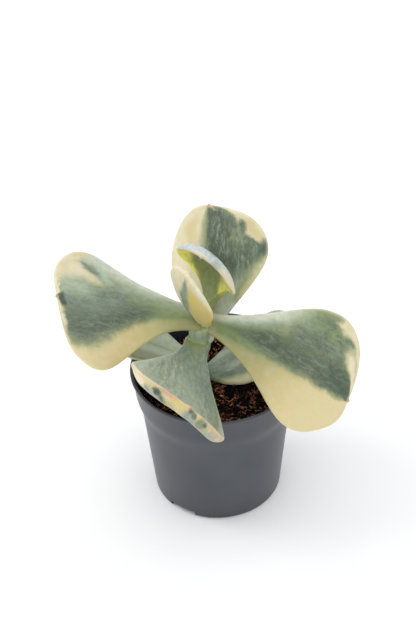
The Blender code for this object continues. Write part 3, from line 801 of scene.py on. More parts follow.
def blade_place(leaf, part, offset):
    """Where a point of the flat blade lies once the leaf is cupped, waved and curled."""
    half = side_width(leaf, offset)
    height = np.zeros_like(offset)
    if leaf.lobes:
        part, offset = lobed(leaf, part, offset)
    if leaf.curl:
        part, offset, height = curled(leaf, part, offset)
    share, points, along, side, top = midrib(leaf)

    def read(values):
        return np.stack([np.interp(part, share, values[:, axis]) for axis in range(3)], -1)

    outside = (np.clip(part - 1, 0, None) + np.clip(part, None, 0)) * leaf.length
    cup = math.radians(leaf.cup) if leaf.cup else 1e-6
    turn = cup * offset / half
    sideways = np.sin(turn) * half / cup - height * np.sin(turn)
    lift = (1 - np.cos(turn)) * half / cup + height * np.cos(turn)
    swell = np.sin(2 * np.pi * part + math.radians(leaf.wave_start))
    lift = lift + leaf.wave * swell * (offset / half) ** 2
    return (read(points) + read(along) * outside[..., None]
            + read(side) * sideways[..., None] + read(top) * lift[..., None])


def blade_normal(leaf, part, offset):
    """The upper side's direction, from the surface's slopes along and across."""
    step = SLOPE_STEP / leaf.length
    ahead = blade_place(leaf, part + step, offset) - blade_place(leaf, part - step, offset)
    aside = blade_place(leaf, part, offset + SLOPE_STEP) - blade_place(leaf, part, offset - SLOPE_STEP)
    normal = np.cross(ahead, aside)
    return normal / np.maximum(np.linalg.norm(normal, axis=-1, keepdims=True), 1e-12)


def edge_distance(leaf, part, offset):
    """Millimetres from a point of the flat blade to its edge."""
    reach, ahead, _ = end_reach(leaf, part, offset)
    far = np.hypot((part - leaf.widest) * leaf.length, offset) / reach
    end = (1 - reach) * far
    wide = half_width_at(leaf, part) * side_width(leaf, offset) / leaf.half_width
    return np.clip(np.where(ahead > 0.0001, end, wide - np.abs(offset)), 0, None)


def stem_radius(z):
    """Plain radius of the stem at a height."""
    return np.interp(z, [place[2] for place, _ in STEM_AXIS], [radius for _, radius in STEM_AXIS])


def stem_centre(z):
    heights = [place[2] for place, _ in STEM_AXIS]
    return [np.interp(z, heights, [place[axis] for place, _ in STEM_AXIS]) for axis in range(2)]


def stem_distance(points):
    """Millimetres from points to the stem's skin, negative inside it."""
    x, y = stem_centre(points[:, 2])
    return np.hypot(points[:, 0] - x, points[:, 1] - y) - stem_radius(points[:, 2])


def make_blade(leaf, seed):
    """A closed fleshy blade: a sheet wrapped round its cross-section and bent to the leaf."""
    piece, round_share, long_share = flat_sheet("blade_" + leaf.name, BLADE_RING, BLADE_ROWS)
    angle = round_share * 2 * np.pi
    across = -np.cos(angle)
    plain = np.abs(across)
    crowded = (1 - EDGE_CROWDING) * plain + EDGE_CROWDING * np.sin(plain * np.pi / 2)
    across = np.sign(across) * crowded
    face = np.where(angle < np.pi, 1.0, -1.0)

    row = long_share / (1 - END_ROWS)
    start = -BASE_REACH / leaf.length
    neck = start + (leaf.widest - start) * row
    end = leaf.widest + (1 - leaf.widest) * np.sin((long_share - 1 + END_ROWS) / END_ROWS * np.pi / 2)
    part = np.where(row < 1, neck, end)

    side = np.where(across > 0, 1 + leaf.lean, 1 - leaf.lean)
    offset = half_width_at(leaf, part) * side * across
    distance = edge_distance(leaf, part, offset)
    from_tip = np.hypot((1 - part) * leaf.length, offset)

    body = np.interp(part, *zip(*THICKNESS)) * (1 - EDGE_THINNING * across ** 2)
    edge = np.clip(distance / EDGE_ROUND, 0, 1)
    half_thick = body / 2 * np.sqrt(1 - (1 - edge) ** 2)
    closed_base = np.clip(1 + part * leaf.length / BASE_REACH, 0, 1)
    half_thick = half_thick * np.where(part < 0, np.sqrt(1 - (1 - closed_base) ** 2), 1)

    point = np.exp(-(offset / POINT_WIDTH) ** 2 - ((1 - part) * leaf.length / POINT_START) ** 2)
    normal = blade_normal(leaf, part, offset)
    place = blade_place(leaf, part + point * POINT_LENGTH / leaf.length, offset)

    flat = np.stack([part * leaf.length, offset, np.zeros_like(offset)], -1)
    swell = sum(height * ripple(flat, size, seed + index)
                for index, (height, size) in enumerate(SWELLS))
    stretched = flat * (GROOVE_STRETCH, 1.0, 1.0)
    grooves = GROOVE_HEIGHT * ripple(stretched, GROOVE_SIZE, seed + len(SWELLS))
    calm = smooth_step(part / CALM_SHARE)
    place = place + normal * (swell * calm)[:, None]
    place = place + normal * (face * (half_thick + grooves * calm * edge))[:, None]

    near = np.stack([distance, stem_distance(place), from_tip], -1)
    reach, ahead, aside = end_reach(leaf, part, offset)
    ahead = np.where(part > leaf.widest, ahead, (part - leaf.widest) / (1 - leaf.widest))
    turn = np.degrees(np.arctan2(np.sign(offset) * aside, ahead))
    end = np.stack([turn, 1 - reach, np.zeros_like(turn)], -1)
    blade = np.stack([part, across, face * np.minimum(half_thick, 1)], -1)
    bend_sheet(piece, place * MM, {"blade": blade, "flat": flat, "near": near, "end": end})
    return piece


# Most tones of the skin: the colour that names it, the one mixed in, the pattern that mixes them,
# the two values between which that sets in, and its greatest share
TONES = (
    ("night", "deep", "mottle", 0.42, 0.64, 1.0),
    ("pale", "green", "mottle", 0.44, 0.72, 0.35),
    ("white", "pale", "mottle", 0.44, 0.70, 0.5),
    ("moss", "green", "mottle", 0.42, 0.68, 0.5),
    ("olive", "moss", "mottle", 0.42, 0.70, 0.4),
    ("cream", "butter", "cloud", 0.42, 0.72, 0.45),
    ("butter", "cream", "cloud", 0.42, 0.70, 0.35),
    ("gold", "butter", "cloud", 0.34, 0.70, 0.6),
    ("fresh", "deep", "mottle", 0.46, 0.62, 0.35),
    ("sun", "fresh", "mottle", 0.46, 0.70, 0.5),
    ("frost", "white", "mottle", 0.40, 0.64, 0.7),
)


def skin_patterns(paint, flat):
    """Noise on the flat blade: broad clouds, mottling, marbling along the blade and fine powder."""
    return {
        "cloud": paint.noise(flat, 0.28, 4.0),
        "mottle": paint.noise(paint.stretch(flat, 0.55, 1.0, 1.0), 0.85, 6.0, 0.70, 0.5),
        "marble": paint.noise(paint.stretch(flat, 0.28, 1.0, 1.0), 0.75, 6.0, 0.72, 0.5),
        "fine": paint.noise(flat, 3.6, 3.0, 0.7),
    }


def skin_tones(paint, leaf, colors, patterns):
    """Every tone that a streak or spot can have, by name."""
    tones = {"axil": colors.axil, "blush": colors.blush}
    for name, other, pattern, low, high, amount in TONES:
        share = patterns[pattern].rises(low, high) * amount
        tones[name] = paint.mix(getattr(colors, name), getattr(colors, other), share)

    mottle, marble, fine = patterns["mottle"], patterns["marble"], patterns["fine"]
    veins = marble.rises(0.46, 0.72) * (leaf.veins * 0.75)
    chalk = paint.mix(colors.bloom, colors.pale, fine.rises(0.3, 0.7) * 0.6)
    green = paint.mix(colors.green, colors.deep, mottle.rises(0.44, 0.60) * 0.9)
    green = paint.mix(green, colors.moss, patterns["cloud"].rises(0.48, 0.66) * 0.45)
    green = paint.mix(green, colors.bloom, fine.rises(0.42, 0.68) * 0.40)
    tones["green"] = paint.mix(green, chalk, veins)
    deep = paint.mix(colors.deep, colors.green, mottle.rises(0.46, 0.60) * 0.8)
    tones["deep"] = paint.mix(deep, chalk, veins)
    blue = paint.mix(colors.bloom, colors.green, mottle.rises(0.40, 0.60) * 0.6)
    tones["blue"] = paint.mix(blue, chalk, veins * 0.6)
    powdery = (marble * 0.6 + fine * 0.4).rises(0.42, 0.62)
    tones["chalk"] = paint.mix(colors.green, colors.white, powdery)
    return tones


def curled_band(paint, leaf, colors, tones, patterns, sway, feather):
    """The band that shows where a blade's end curls up: its spotted colour and its mask."""
    turn, inset, _ = paint.split(paint.fact("end"))
    ragged = patterns["fine"] - 0.5
    turn_seen = turn + sway * 7.0 + ragged * 5.0
    inset_seen = inset + feather * 0.05 + ragged * 0.05
    # The band's ground is cream dulled as painted shade where the edge turns under
    band = paint.mix(colors.shaded_cream, tones["cream"], patterns["mottle"].rises(0.40, 0.70) * 0.5)
    for spot in leaf.spots:
        beside = abs(turn_seen - spot.turn) / spot.size[0]
        inward = abs(inset_seen - spot.inset) / spot.size[1]
        mask = (beside * beside + inward * inward).falls(0.15, 1.5) * spot.strength
        band = paint.mix(band, tones[spot.tone], mask)
    return band, inset.falls(0.32, 0.42)


def leaf_paint(leaf, seed, colors):
    """Variegated skin: cream, bands of green, powder, and pink at the edge and the point."""
    paint = Paint("skin_" + leaf.name, subsurface_weight=0.12, subsurface_radius=(1.0, 0.85, 0.4),
                  subsurface_scale=1.2 * MM, sheen_weight=0.08, sheen_roughness=0.4)
    part, across, face = paint.split(paint.fact("blade"))
    edge, from_stem, from_tip = paint.split(paint.fact("near"))
    flat = paint.shift(paint.fact("flat"), seed * 31.0, seed * 17.0, seed * 7.0)
    patterns = skin_patterns(paint, flat)
    cloud, mottle, fine = patterns["cloud"], patterns["mottle"], patterns["fine"]
    tones = skin_tones(paint, leaf, colors, patterns)

    drift = paint.noise(flat, 0.16, 3.0) - 0.5
    sway = paint.noise(paint.shift(flat, 50.0, 9.0, 3.0), 0.30, 4.0, 0.6) - 0.5
    feather = paint.noise(paint.stretch(flat, 0.20, 1.0, 1.0), 0.8, 4.0, 0.6) - 0.5
    part_seen = part + drift * 0.12 + feather * 0.03
    across_seen = across + sway * 0.22 + feather * 0.06

    color = paint.mix(tones[leaf.ground], tones["cream"], part.rises(0.35, 1.0) * 0.45)
    if leaf.flush:
        color = paint.mix(color, tones["olive"], part_seen.falls(0.0, leaf.flush) * 0.8)
    for streak in leaf.streaks:
        mask = streak_mask(streak, part_seen, across_seen)
        if streak.tone in ("green", "cream"):
            color = paint.mix(color, tones["olive"], mask.rises(0.05, 0.60) * streak.halo)
            mask = mask.rises(0.20, 0.95)
        color = paint.mix(color, tones[streak.tone], mask)

    under = face.falls(-0.25, 0.25)
    if leaf.spots:
        band, curled_up = curled_band(paint, leaf, colors, tones, patterns, sway, feather)
        color = paint.mix(color, band, curled_up * under)

    amount = leaf.bloom[0] + under * (leaf.bloom[1] - leaf.bloom[0])
    film = (mottle * 0.5 + fine * 0.5).rises(0.44, 0.62) * amount * 0.34
    color = paint.mix(color, colors.bloom, film)
    color = paint.mix(color, colors.axil, from_stem.falls(0.15, 1.0) * 0.6)

    rim = edge.falls(0.0, 0.5) * part.rises(0.3, 0.7)
    color = paint.mix(color, tones["cream"], rim * 0.5)
    ends = part.rises(0.80, 0.98) * cloud.rises(0.42, 0.6)
    color = paint.mix(color, colors.blush, edge.falls(0.05, 0.4) * ends * leaf.blush * 0.5)
    color = paint.mix(color, colors.blush, from_tip.falls(0.2, 0.9) * leaf.blush)

    rough = 0.50 + film * 0.3 + fine * 0.08
    skin = paint.bump(mottle * 0.6 + fine * 0.4, 0.12, 0.10 * MM)
    return paint.set(base_color=color, roughness=rough, normal=skin)


def course(values, share):
    """One value that stays, or one that runs through two or three along a share of 0 to 1."""
    if not isinstance(values, tuple):
        return values
    if len(values) == 2:
        return share * (values[1] - values[0]) + values[0]
    first, middle, last = values
    slope = 4 * middle - 3 * first - last
    curve = 2 * first - 4 * middle + 2 * last
    return (share * curve + slope) * share + first


def streak_mask(streak, part, across):
    """1 inside a streak, 0 outside it and soft at its sides and ends."""
    share = ((part - streak.start) / (streak.end - streak.start)).at_least(0.0).at_most(1.0)
    beside = abs(across - course(streak.line, share))
    spread = course(streak.spread, share)
    sides = beside.falls(spread - streak.blur / 2, spread + streak.blur / 2)
    begins = part.rises(streak.start - streak.fade / 2, streak.start + streak.fade / 2)
    ends = part.falls(streak.end - streak.fade / 2, streak.end + streak.fade / 2)
    return sides * begins * ends * streak.strength


class PLANT_OT_leaves(bpy.types.Operator):
    """Model the eight variegated leaves"""
    bl_idname = "plant.leaves"
    bl_label = "Leaves"

    def execute(self, context):
        colors = context.scene.plant_leaves
        for seed, leaf in enumerate(LEAVES, 1):
            node = "leaf_" + leaf.name
            finish_piece(make_blade(leaf, seed), leaf_paint(leaf, seed, colors), node, node)
        return {"FINISHED"}


def make_stem():
    """The stem: round, with a flattened swelling under each leaf pair and old leaf scars."""
    piece, round_share, long_share = flat_sheet("stem_skin", STEM_RING, STEM_ROWS)
    low, high = STEM_AXIS[0][0][2], STEM_AXIS[-1][0][2]
    z = low + (high - low) * long_share
    angle = round_share * 2 * np.pi
    radius = stem_radius(z)
    for height, heading, widening in STEM_NODES:
        reach = np.where(z > height, *SWELLING_REACH)
        swell = np.exp(-((z - height) / reach) ** 2)
        turned = angle - math.radians(heading)
        radius = radius + widening * swell * (0.35 + 0.65 * np.sin(turned) ** 2)
    for height in STEM_SCARS:
        for rise, above, width in SCAR_RINGS:
            radius = radius + rise * np.exp(-((z - height - above) / width) ** 2)
    closing = np.clip(np.minimum(long_share, 1 - long_share) / STEM_END_SHARE, 0, 1)
    radius = radius * np.sqrt(1 - (1 - closing) ** 2)
    x, y = stem_centre(z)
    round_place = np.stack([np.cos(angle), np.sin(angle), z / 9.0], -1)
    radius = radius * (1 + 0.025 * ripple(round_place, 0.7, 40))
    place = np.stack([x + radius * np.cos(angle), y + radius * np.sin(angle), z], -1)
    return bend_sheet(piece, place * MM)


def stem_paint(colors, leaf_colors):
    """Powdery green skin, corky at the soil, with a bright line over each upper node."""
    paint = Paint("skin_stem", subsurface_weight=0.10, subsurface_radius=(1.0, 0.9, 0.4),
                  subsurface_scale=1.0 * MM)
    place = paint.place()
    height = paint.split(place)[2]
    blotch = paint.noise(place, 260.0, 4.0)
    streaks = paint.noise(paint.stretch(place, 1.0, 1.0, 0.2), 900.0, 4.0)
    color = paint.mix(colors.skin, leaf_colors.bloom, blotch.rises(0.4, 0.7) * 0.45)
    color = paint.mix(color, leaf_colors.green, streaks.rises(0.5, 0.75) * 0.4)
    old = (height + blotch * 0.006).falls(0.046, 0.053)
    color = paint.mix(color, colors.cork, old * 0.8)
    for node_height, _, _ in STEM_NODES[1:]:
        line = abs(height - (node_height + JOINT_LINE) * MM)
        color = paint.mix(color, leaf_colors.axil, line.falls(0.0002, 0.0011) * 0.8)
    return paint.set(base_color=color, roughness=0.48 + blotch * 0.15,
                     normal=paint.bump(streaks, 0.3, 0.15 * MM))


class PLANT_OT_stem(bpy.types.Operator):
    """Model the stem"""
    bl_idname = "plant.stem"
    bl_label = "Stem"

    def execute(self, context):
        paint = stem_paint(context.scene.plant_stem, context.scene.plant_leaves)
        finish_piece(make_stem(), paint, "stem", "stem")
        return {"FINISHED"}


def fillet(profile, radius, steps=4):
    """Round the inner corners of an outline of (radius, height) points with short arcs.

    A point may give a wider arc of its own as a third value."""
    rounded = [profile[0]]
    for before, corner, after in zip(profile[:-2], profile[1:-1], profile[2:]):
        reach = corner[2] if len(corner) > 2 else radius
        before, corner, after = Vector(before[:2]), Vector(corner[:2]), Vector(after[:2])
        cut = min(reach, (before - corner).length * 0.45, (after - corner).length * 0.45)
        first = corner + (before - corner).normalized() * cut
        last = corner + (after - corner).normalized() * cut
        for step in range(steps + 1):
            share = step / steps
            mixed = first.lerp(corner, share).lerp(corner.lerp(last, share), share)
            rounded.append(tuple(mixed))
    return rounded + [profile[-1]]


def pot_profile(pot):
    """The pot's section in millimetres, from the middle of its underside round to its floor."""
    height, rim, wall = pot.height / MM, pot.rim_radius / MM, pot.wall / MM
    foot_inner = BASE_RADIUS - FOOT_WIDTH
    outside = [
        (0.0, FOOT_RECESS), (foot_inner - 0.4, FOOT_RECESS), (foot_inner, 0.0),
        (BASE_RADIUS - BASE_ROUND, 0.0), (BASE_RADIUS + BASE_ROUND * 0.09, BASE_ROUND),
        (BODY_TOP_RADIUS, BODY_TOP_Z, SOFT_CORNER),
        (COLLAR_BOTTOM_RADIUS, COLLAR_BOTTOM_Z, SOFT_CORNER),
        (COLLAR_TOP_RADIUS, height - RIM_BAND - 0.3), (rim, height - RIM_BAND), (rim, height),
    ]
    inside = [
        (rim - wall, height), (COLLAR_TOP_RADIUS - wall, height - RIM_BAND - 0.6),
        (COLLAR_BOTTOM_RADIUS - wall, COLLAR_BOTTOM_Z), (BODY_TOP_RADIUS - wall, BODY_TOP_Z),
        (BASE_RADIUS - wall + 0.1, FLOOR), (0.0, FLOOR),
    ]
    return fillet(outside + inside, FILLET)


def turn_profile(name, profile, steps):
    """Draw a section from point to point and spin it round Z."""
    start = (profile[0][0] * MM, 0, profile[0][1] * MM)
    piece = add_primitive(bpy.ops.mesh.primitive_plane_add, size=MM, location=start)
    name_piece(piece, name)
    bpy.ops.object.transform_apply(location=True, rotation=True, scale=True)
    with editing(piece):
        bpy.ops.mesh.merge(type="CENTER")
        for here, ahead in zip(profile[:-1], profile[1:]):
            move = ((ahead[0] - here[0]) * MM, 0, (ahead[1] - here[1]) * MM)
            bpy.ops.mesh.extrude_region_move(TRANSFORM_OT_translate={"value": move})
        bpy.ops.mesh.select_all(action="SELECT")
        bpy.ops.mesh.spin(steps=steps, angle=2 * math.pi, center=(0, 0, 0), axis=(0, 0, 1))
    return piece


def cut_notches(pot):
    """Cut the drainage notches through the corner of the base, each with a rounded box."""
    for index in range(NOTCH_COUNT):
        angle = math.radians(FIRST_NOTCH_ANGLE + index * 360.0 / NOTCH_COUNT)
        place = Vector((math.cos(angle), math.sin(angle), 0)) * BASE_RADIUS * MM
        cutter = add_primitive(bpy.ops.mesh.primitive_cube_add,
                               size=1.0, location=place, rotation=(0, 0, angle))
        cutter.scale = Vector(NOTCH_SIZE) * MM
        bpy.ops.object.transform_apply(location=True, rotation=True, scale=True)
        apply_modifier(cutter, "BEVEL", width=NOTCH_BEVEL * MM, segments=3)
        apply_modifier(pot, "BOOLEAN", operation="DIFFERENCE", solver="EXACT", object=cutter)
        bpy.data.objects.remove(cutter, do_unlink=True)


def plastic_paint(pot):
    """Grey nursery plastic: satin, slightly mottled, dusty low down and finely scuffed."""
    paint = Paint("pot_plastic_grey", specular_ior_level=0.85)
    place = paint.place()
    height = paint.split(place)[2]
    mottle = paint.noise(place, 60.0, 4.0)
    grain = paint.noise(place, 2600.0, 2.0)
    drawn = paint.noise(paint.stretch(place, 1.0, 1.0, 0.06), 700.0, 3.0)
    scuff = paint.noise(paint.stretch(place, 0.3, 0.3, 1.6), 420.0, 5.0, 0.7)
    dust = paint.noise(place, 900.0, 5.0, 0.7).rises(0.60, 0.74)
    low = height.falls(0.001, 0.010)
    color = paint.mix(pot.plastic, pot.scuffs, mottle.rises(0.35, 0.75) * 0.10)
    color = paint.mix(color, pot.scuffs, scuff.rises(0.66, 0.78) * 0.14)
    color = paint.mix(color, pot.scuffs, dust * (low * 0.25 + 0.06))
    rough = 0.36 + mottle * 0.08 + scuff.rises(0.6, 0.8) * 0.12
    surface = grain * 0.5 + drawn * 0.5
    return paint.set(base_color=color, roughness=rough,
                     normal=paint.bump(surface, 0.22, 0.05 * MM))


class PLANT_OT_pot(bpy.types.Operator):
    """Model the nursery pot with its rim, collar, foot and drainage notches"""
    bl_idname = "plant.pot"
    bl_label = "Pot"

    def execute(self, context):
        pot = context.scene.plant_pot
        piece = turn_profile("pot_shell", pot_profile(pot), pot.steps)
        close_up(piece)
        cut_notches(piece)
        use(piece)
        bpy.ops.object.shade_smooth_by_angle(angle=math.radians(SMOOTH_ANGLE))
        finish_piece(piece, plastic_paint(pot), "pot_plastic", "pot")
        return {"FINISHED"}


def soil_crumbs(x, y):
    """Relief of the soil, about -1 to 1: round crumbs of three sizes."""
    total = 0.0
    for size, share in CRUMBS:
        place = Vector((x / size, y / size, size * 3.1))
        distance = noise.voronoi(place)[0][0]
        total += share * (1.0 - 1.9 * distance ** 1.5)
    return total + 0.25 * noise.noise(Vector((x / 7.0, y / 7.0, 5.0)))


def soil_height(soil, x, y):
    """Height of the soil in millimetres: a low heap covered with crumbs."""
    wall = COLLAR_BOTTOM_RADIUS
    heap = soil.heap / MM * (1.0 - (math.hypot(x, y) / wall) ** 2)
    return soil.edge_height / MM + heap + soil.relief / MM * soil_crumbs(x, y)


def soil_edge_radius(z):
    """Inner radius of the pot at a height, less a small gap."""
    heights = [FLOOR, BODY_TOP_Z, COLLAR_BOTTOM_Z, COLLAR_TOP_Z]
    radii = [BASE_RADIUS, BODY_TOP_RADIUS, COLLAR_BOTTOM_RADIUS, COLLAR_TOP_RADIUS]
    return np.interp(z, heights, radii) - SOIL_INSET


def make_soil(soil):
    """The soil: a closed body that fills the pot, with a crumbly heaped top."""
    piece, round_share, out_share = flat_sheet("soil_bed", SOIL_STEPS, SOIL_RINGS)
    angle = round_share * 2 * np.pi
    on_top = out_share <= SOIL_TOP_SHARE
    reach = np.clip(out_share / SOIL_TOP_SHARE, 0, 1)
    edge = float(soil_edge_radius(soil.edge_height / MM))
    radius = edge * reach
    x, y = radius * np.cos(angle), radius * np.sin(angle)
    height = np.array([soil_height(soil, a, b) for a, b in zip(x, y)])
    down = np.clip((out_share - SOIL_TOP_SHARE) / (1 - SOIL_TOP_SHARE), 0, 1)
    side = np.clip(down / SOIL_SIDE_SHARE, 0, 1)
    side_z = height + (FLOOR + SOIL_FLOOR_GAP - height) * side
    side_radius = np.minimum(soil_edge_radius(side_z), edge)
    under = np.clip((down - SOIL_SIDE_SHARE) / (1 - SOIL_SIDE_SHARE), 0, 1)
    radius = np.where(on_top, radius, side_radius * (1 - under))
    z = np.where(on_top, height, side_z)
    place = np.stack([radius * np.cos(angle), radius * np.sin(angle), z], -1)
    return bend_sheet(piece, place * MM)


def soil_paint(name, colors, lightness=0.0):
    """Damp peat: nearly black in the hollows, brown on the crumbs. Litter has a tone of its own."""
    paint = Paint(name, specular_ior_level=0.12)
    place = paint.place()
    fine = paint.noise(place, 1500.0, 4.0, 0.7)
    patch = paint.noise(place, 420.0, 3.0, 0.6)
    dark = tuple(channel * 0.35 for channel in colors.peat)
    color = paint.mix(dark, colors.peat, fine.rises(0.35, 0.62))
    if lightness:
        tone = paint.split(paint.fact("tone"))[0]
        lit = (tone + patch * 0.12).rises(0.64, 0.98) * lightness
        color = paint.mix(color, colors.bark, lit * (fine.rises(0.36, 0.64) + 0.15))
    else:
        color = paint.mix(color, colors.bark, patch.rises(0.62, 0.80) * 0.15)
    return paint.set(base_color=color, roughness=0.8 + fine * 0.2,
                     normal=paint.bump(fine, 0.6, 0.25 * MM))


def chip_shapes(draw):
    """A few broken crumbs and flakes, each modelled from a small ball and knocked out of shape."""
    shapes = []
    for index in range(CHIP_SHAPES):
        chip = add_primitive(bpy.ops.mesh.primitive_ico_sphere_add, subdivisions=1, radius=0.5)
        flat = draw.uniform(0.25, 0.6)
        long = draw.uniform(1.0, 2.4)
        with editing(chip):
            bpy.ops.transform.resize(value=(long, 0.6, flat), center_override=(0, 0, 0))
            bpy.ops.transform.vertex_random(offset=0.14, seed=index + 3)
        shapes.append(mesh_arrays(chip.data))
        bpy.data.objects.remove(chip, do_unlink=True)
    return shapes


def fibre_shapes(draw):
    """A few thin bent roots, each a three-sided cylinder one unit long."""
    shapes = []
    for _ in range(FIBRE_SHAPES):
        fibre = add_primitive(bpy.ops.mesh.primitive_cylinder_add, vertices=3,
                              radius=FIBRE_RADIUS, depth=1.0, rotation=(0, math.pi / 2, 0))
        bpy.ops.object.transform_apply(location=True, rotation=True, scale=True)
        with editing(fibre):
            for share in (-0.3, -0.1, 0.1, 0.3):
                bpy.ops.mesh.select_all(action="SELECT")
                bpy.ops.mesh.bisect(plane_co=(share, 0, 0), plane_no=(1, 0, 0))
        vertices, faces = mesh_arrays(fibre.data)
        bow, wag = draw.uniform(-0.5, 0.5), draw.uniform(-0.2, 0.2)
        vertices[:, 1] += bow * vertices[:, 0] ** 2 + wag * np.sin(vertices[:, 0] * 7)
        vertices[:, 2] += 0.25 * draw.uniform(-1, 1) * vertices[:, 0] ** 2
        shapes.append((vertices, faces))
        bpy.data.objects.remove(fibre, do_unlink=True)
    return shapes


def mesh_arrays(mesh):
    vertices = np.array([vertex.co[:] for vertex in mesh.vertices])
    faces = [tuple(polygon.vertices) for polygon in mesh.polygons]
    return vertices, faces


def scatter(name, shapes, placings):
    """One mesh with a copy of a shape for each placing: shape number, matrix and tone."""
    vertices, faces, tones = [], [], []
    count = 0
    for index, matrix, tone in placings:
        shape_vertices, shape_faces = shapes[index]
        placed = shape_vertices @ np.array(matrix.to_3x3()).T + np.array(matrix.translation)
        vertices.append(placed)
        faces += [tuple(corner + count for corner in face) for face in shape_faces]
        tones += [(tone, tone, tone)] * len(placed)
        count += len(placed)
    mesh = bpy.data.meshes.new(name)
    mesh.from_pydata(np.concatenate(vertices), [], faces)
    layer = mesh.attributes.new("tone", "FLOAT_VECTOR", "POINT")
    layer.data.foreach_set("vector", np.array(tones).ravel())
    mesh.update()
    piece = bpy.data.objects.new(name, mesh)
    bpy.context.scene.collection.objects.link(piece)
    return piece


def litter_place(soil, draw, size, sink):
    """A random place on the soil, clear of the wall and the stem, with a random turn."""
    stem_x, stem_y, _ = STEM_AXIS[1][0]
    while True:
        outer = COLLAR_BOTTOM_RADIUS - LITTER_INSET - size * 0.6
        reach = math.sqrt(draw.random()) * outer
        angle = draw.uniform(0, 2 * math.pi)
        x, y = reach * math.cos(angle), reach * math.sin(angle)
        if math.hypot(x - stem_x, y - stem_y) > STEM_CLEARANCE + size * 0.5:
            break
    z = soil_height(soil, x, y) - sink * size
    turn = Matrix.Rotation(draw.uniform(0, 2 * math.pi), 4, "Z")
    tip = Matrix.Rotation(draw.gauss(0, 0.45), 4, "X") @ Matrix.Rotation(draw.gauss(0, 0.45), 4, "Y")
    place = Matrix.Translation(Vector((x, y, z)) * MM)
    return place @ turn @ tip @ Matrix.Scale(size * MM, 4)


class PLANT_OT_soil(bpy.types.Operator):
    """Model the body of the soil with its crumbly top"""
    bl_idname = "plant.soil"
    bl_label = "Soil"

    def execute(self, context):
        soil = context.scene.plant_soil
        finish_piece(make_soil(soil), soil_paint("peat", soil), "soil", "soil")
        return {"FINISHED"}


class PLANT_OT_litter(bpy.types.Operator):
    """Strew chips of bark and short fibres on the soil"""
    bl_idname = "plant.litter"
    bl_label = "Soil litter"

    def execute(self, context):
        soil = context.scene.plant_soil
        draw = random.Random(LITTER_SEED)
        chips = chip_shapes(draw)
        placings = []
        for _ in range(soil.chips):
            size = SMALLEST_CHIP + CHIP_RANGE * draw.random() ** CHIP_RARITY
            shape = draw.randrange(len(chips))
            placings.append((shape, litter_place(soil, draw, size, 0.05), draw.random()))
        piece = scatter("soil_chips", chips, placings)
        finish_piece(piece, soil_paint("bark_chips", soil, 0.6), "soil")

        fibres = fibre_shapes(draw)
        placings = []
        for _ in range(soil.fibres):
            size = draw.uniform(*FIBRE_SIZES)
            matrix = litter_place(soil, draw, size, -0.03)
            placings.append((draw.randrange(len(fibres)), matrix, 0.3 + 0.7 * draw.random()))
        piece = scatter("soil_fibres", fibres, placings)
        finish_piece(piece, soil_paint("root_fibres", soil, 1.1), "soil")
        return {"FINISHED"}


def floor_paint(stage):
    paint = Paint("studio_floor", roughness=0.9, specular_ior_level=0.1)
    paint.shader.inputs["Base Color"].default_value = (*stage.floor, 1.0)
    return paint.material


def add_key_light(power):
    """One soft round light at the upper left."""
    bpy.ops.object.light_add(type="AREA", location=KEY_PLACE)
    key = bpy.context.active_object
    key.name = "key_light"
    key.data.energy = power
    key.data.shape = "DISK"
    key.data.size = KEY_SIZE
    key.data.color = KEY_COLOR
    aim = Vector(KEY_AIM) - key.location
    key.rotation_euler = aim.to_track_quat("-Z", "Y").to_euler()


def camera_turn(elevation):
    """The camera's own turn, with the small pan, tilt and roll of the photograph's framing."""
    pan, tilt, roll = (math.radians(angle) for angle in CAMERA_TRIM)
    return (Matrix.Rotation(math.pi / 2 - elevation, 4, "X") @ Matrix.Rotation(-pan, 4, "Y")
            @ Matrix.Rotation(tilt, 4, "X") @ Matrix.Rotation(roll, 4, "Z"))


def add_camera(stage):
    bpy.ops.object.camera_add()
    camera = bpy.context.active_object
    camera.name = "camera"
    camera.data.sensor_fit = "VERTICAL"
    camera.data.sensor_height = SENSOR_HEIGHT
    camera.data.lens = stage.lens
    camera.data.clip_start = 0.01
    back = Vector((0, -math.cos(stage.elevation), math.sin(stage.elevation))) * stage.distance
    place = Matrix.Translation(Vector((0, 0, LOOK_AT_Z * MM)) + back)
    camera.matrix_world = place @ camera_turn(stage.elevation)
    return camera


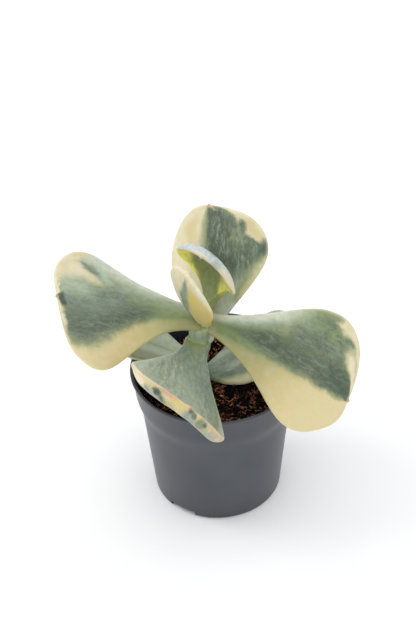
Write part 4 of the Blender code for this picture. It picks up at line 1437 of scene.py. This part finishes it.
class PLANT_OT_stage(bpy.types.Operator):
    """Set the floor, the lights and the camera"""
    bl_idname = "plant.stage"
    bl_label = "Stage"

    def execute(self, context):
        scene = context.scene
        stage = scene.plant_stage
        floor = add_primitive(bpy.ops.mesh.primitive_plane_add, size=FLOOR_SIZE)
        floor.name = "floor"
        floor.data.materials.append(floor_paint(stage))

        world = bpy.data.worlds.new("studio")
        scene.world = world
        world.use_nodes = True
        background = world.node_tree.nodes["Background"]
        background.inputs["Color"].default_value = SKY_COLOR
        background.inputs["Strength"].default_value = stage.sky

        add_key_light(stage.key)
        scene.camera = add_camera(stage)
        scene.view_settings.view_transform = "Standard"
        return {"FINISHED"}


class PLANT_PT_panel(bpy.types.Panel):
    """Lists the plant's pieces in the 3D view's sidebar"""
    bl_idname = "PLANT_PT_panel"
    bl_label = "Potted cotyledon"
    bl_space_type = "VIEW_3D"
    bl_region_type = "UI"
    bl_category = "Plant"

    def draw(self, context):
        for operator, settings in PIECES:
            box = self.layout.box()
            box.operator(operator.bl_idname)
            group = getattr(context.scene, settings)
            for name in group.bl_rna.properties.keys():
                if name not in ("rna_type", "name"):
                    box.prop(group, name)


SETTINGS = {
    "plant_pot": PotSettings,
    "plant_soil": SoilSettings,
    "plant_stem": StemSettings,
    "plant_leaves": LeafSettings,
    "plant_stage": StageSettings,
}
PIECES = (
    (PLANT_OT_pot, "plant_pot"),
    (PLANT_OT_soil, "plant_soil"),
    (PLANT_OT_litter, "plant_soil"),
    (PLANT_OT_stem, "plant_stem"),
    (PLANT_OT_leaves, "plant_leaves"),
    (PLANT_OT_stage, "plant_stage"),
)
CLASSES = (*SETTINGS.values(), *(operator for operator, _ in PIECES), PLANT_PT_panel)


def register():
    for item in CLASSES:
        bpy.utils.register_class(item)
    for name, group in SETTINGS.items():
        setattr(bpy.types.Scene, name, PointerProperty(type=group))


def unregister():
    for name in SETTINGS:
        delattr(bpy.types.Scene, name)
    for item in reversed(CLASSES):
        bpy.utils.unregister_class(item)


def main():
    """Register the add-on and model everything."""
    register()
    for operator, _ in PIECES:
        group, name = operator.bl_idname.split(".")
        getattr(getattr(bpy.ops, group), name)()


if __name__ == "__main__":
    main()
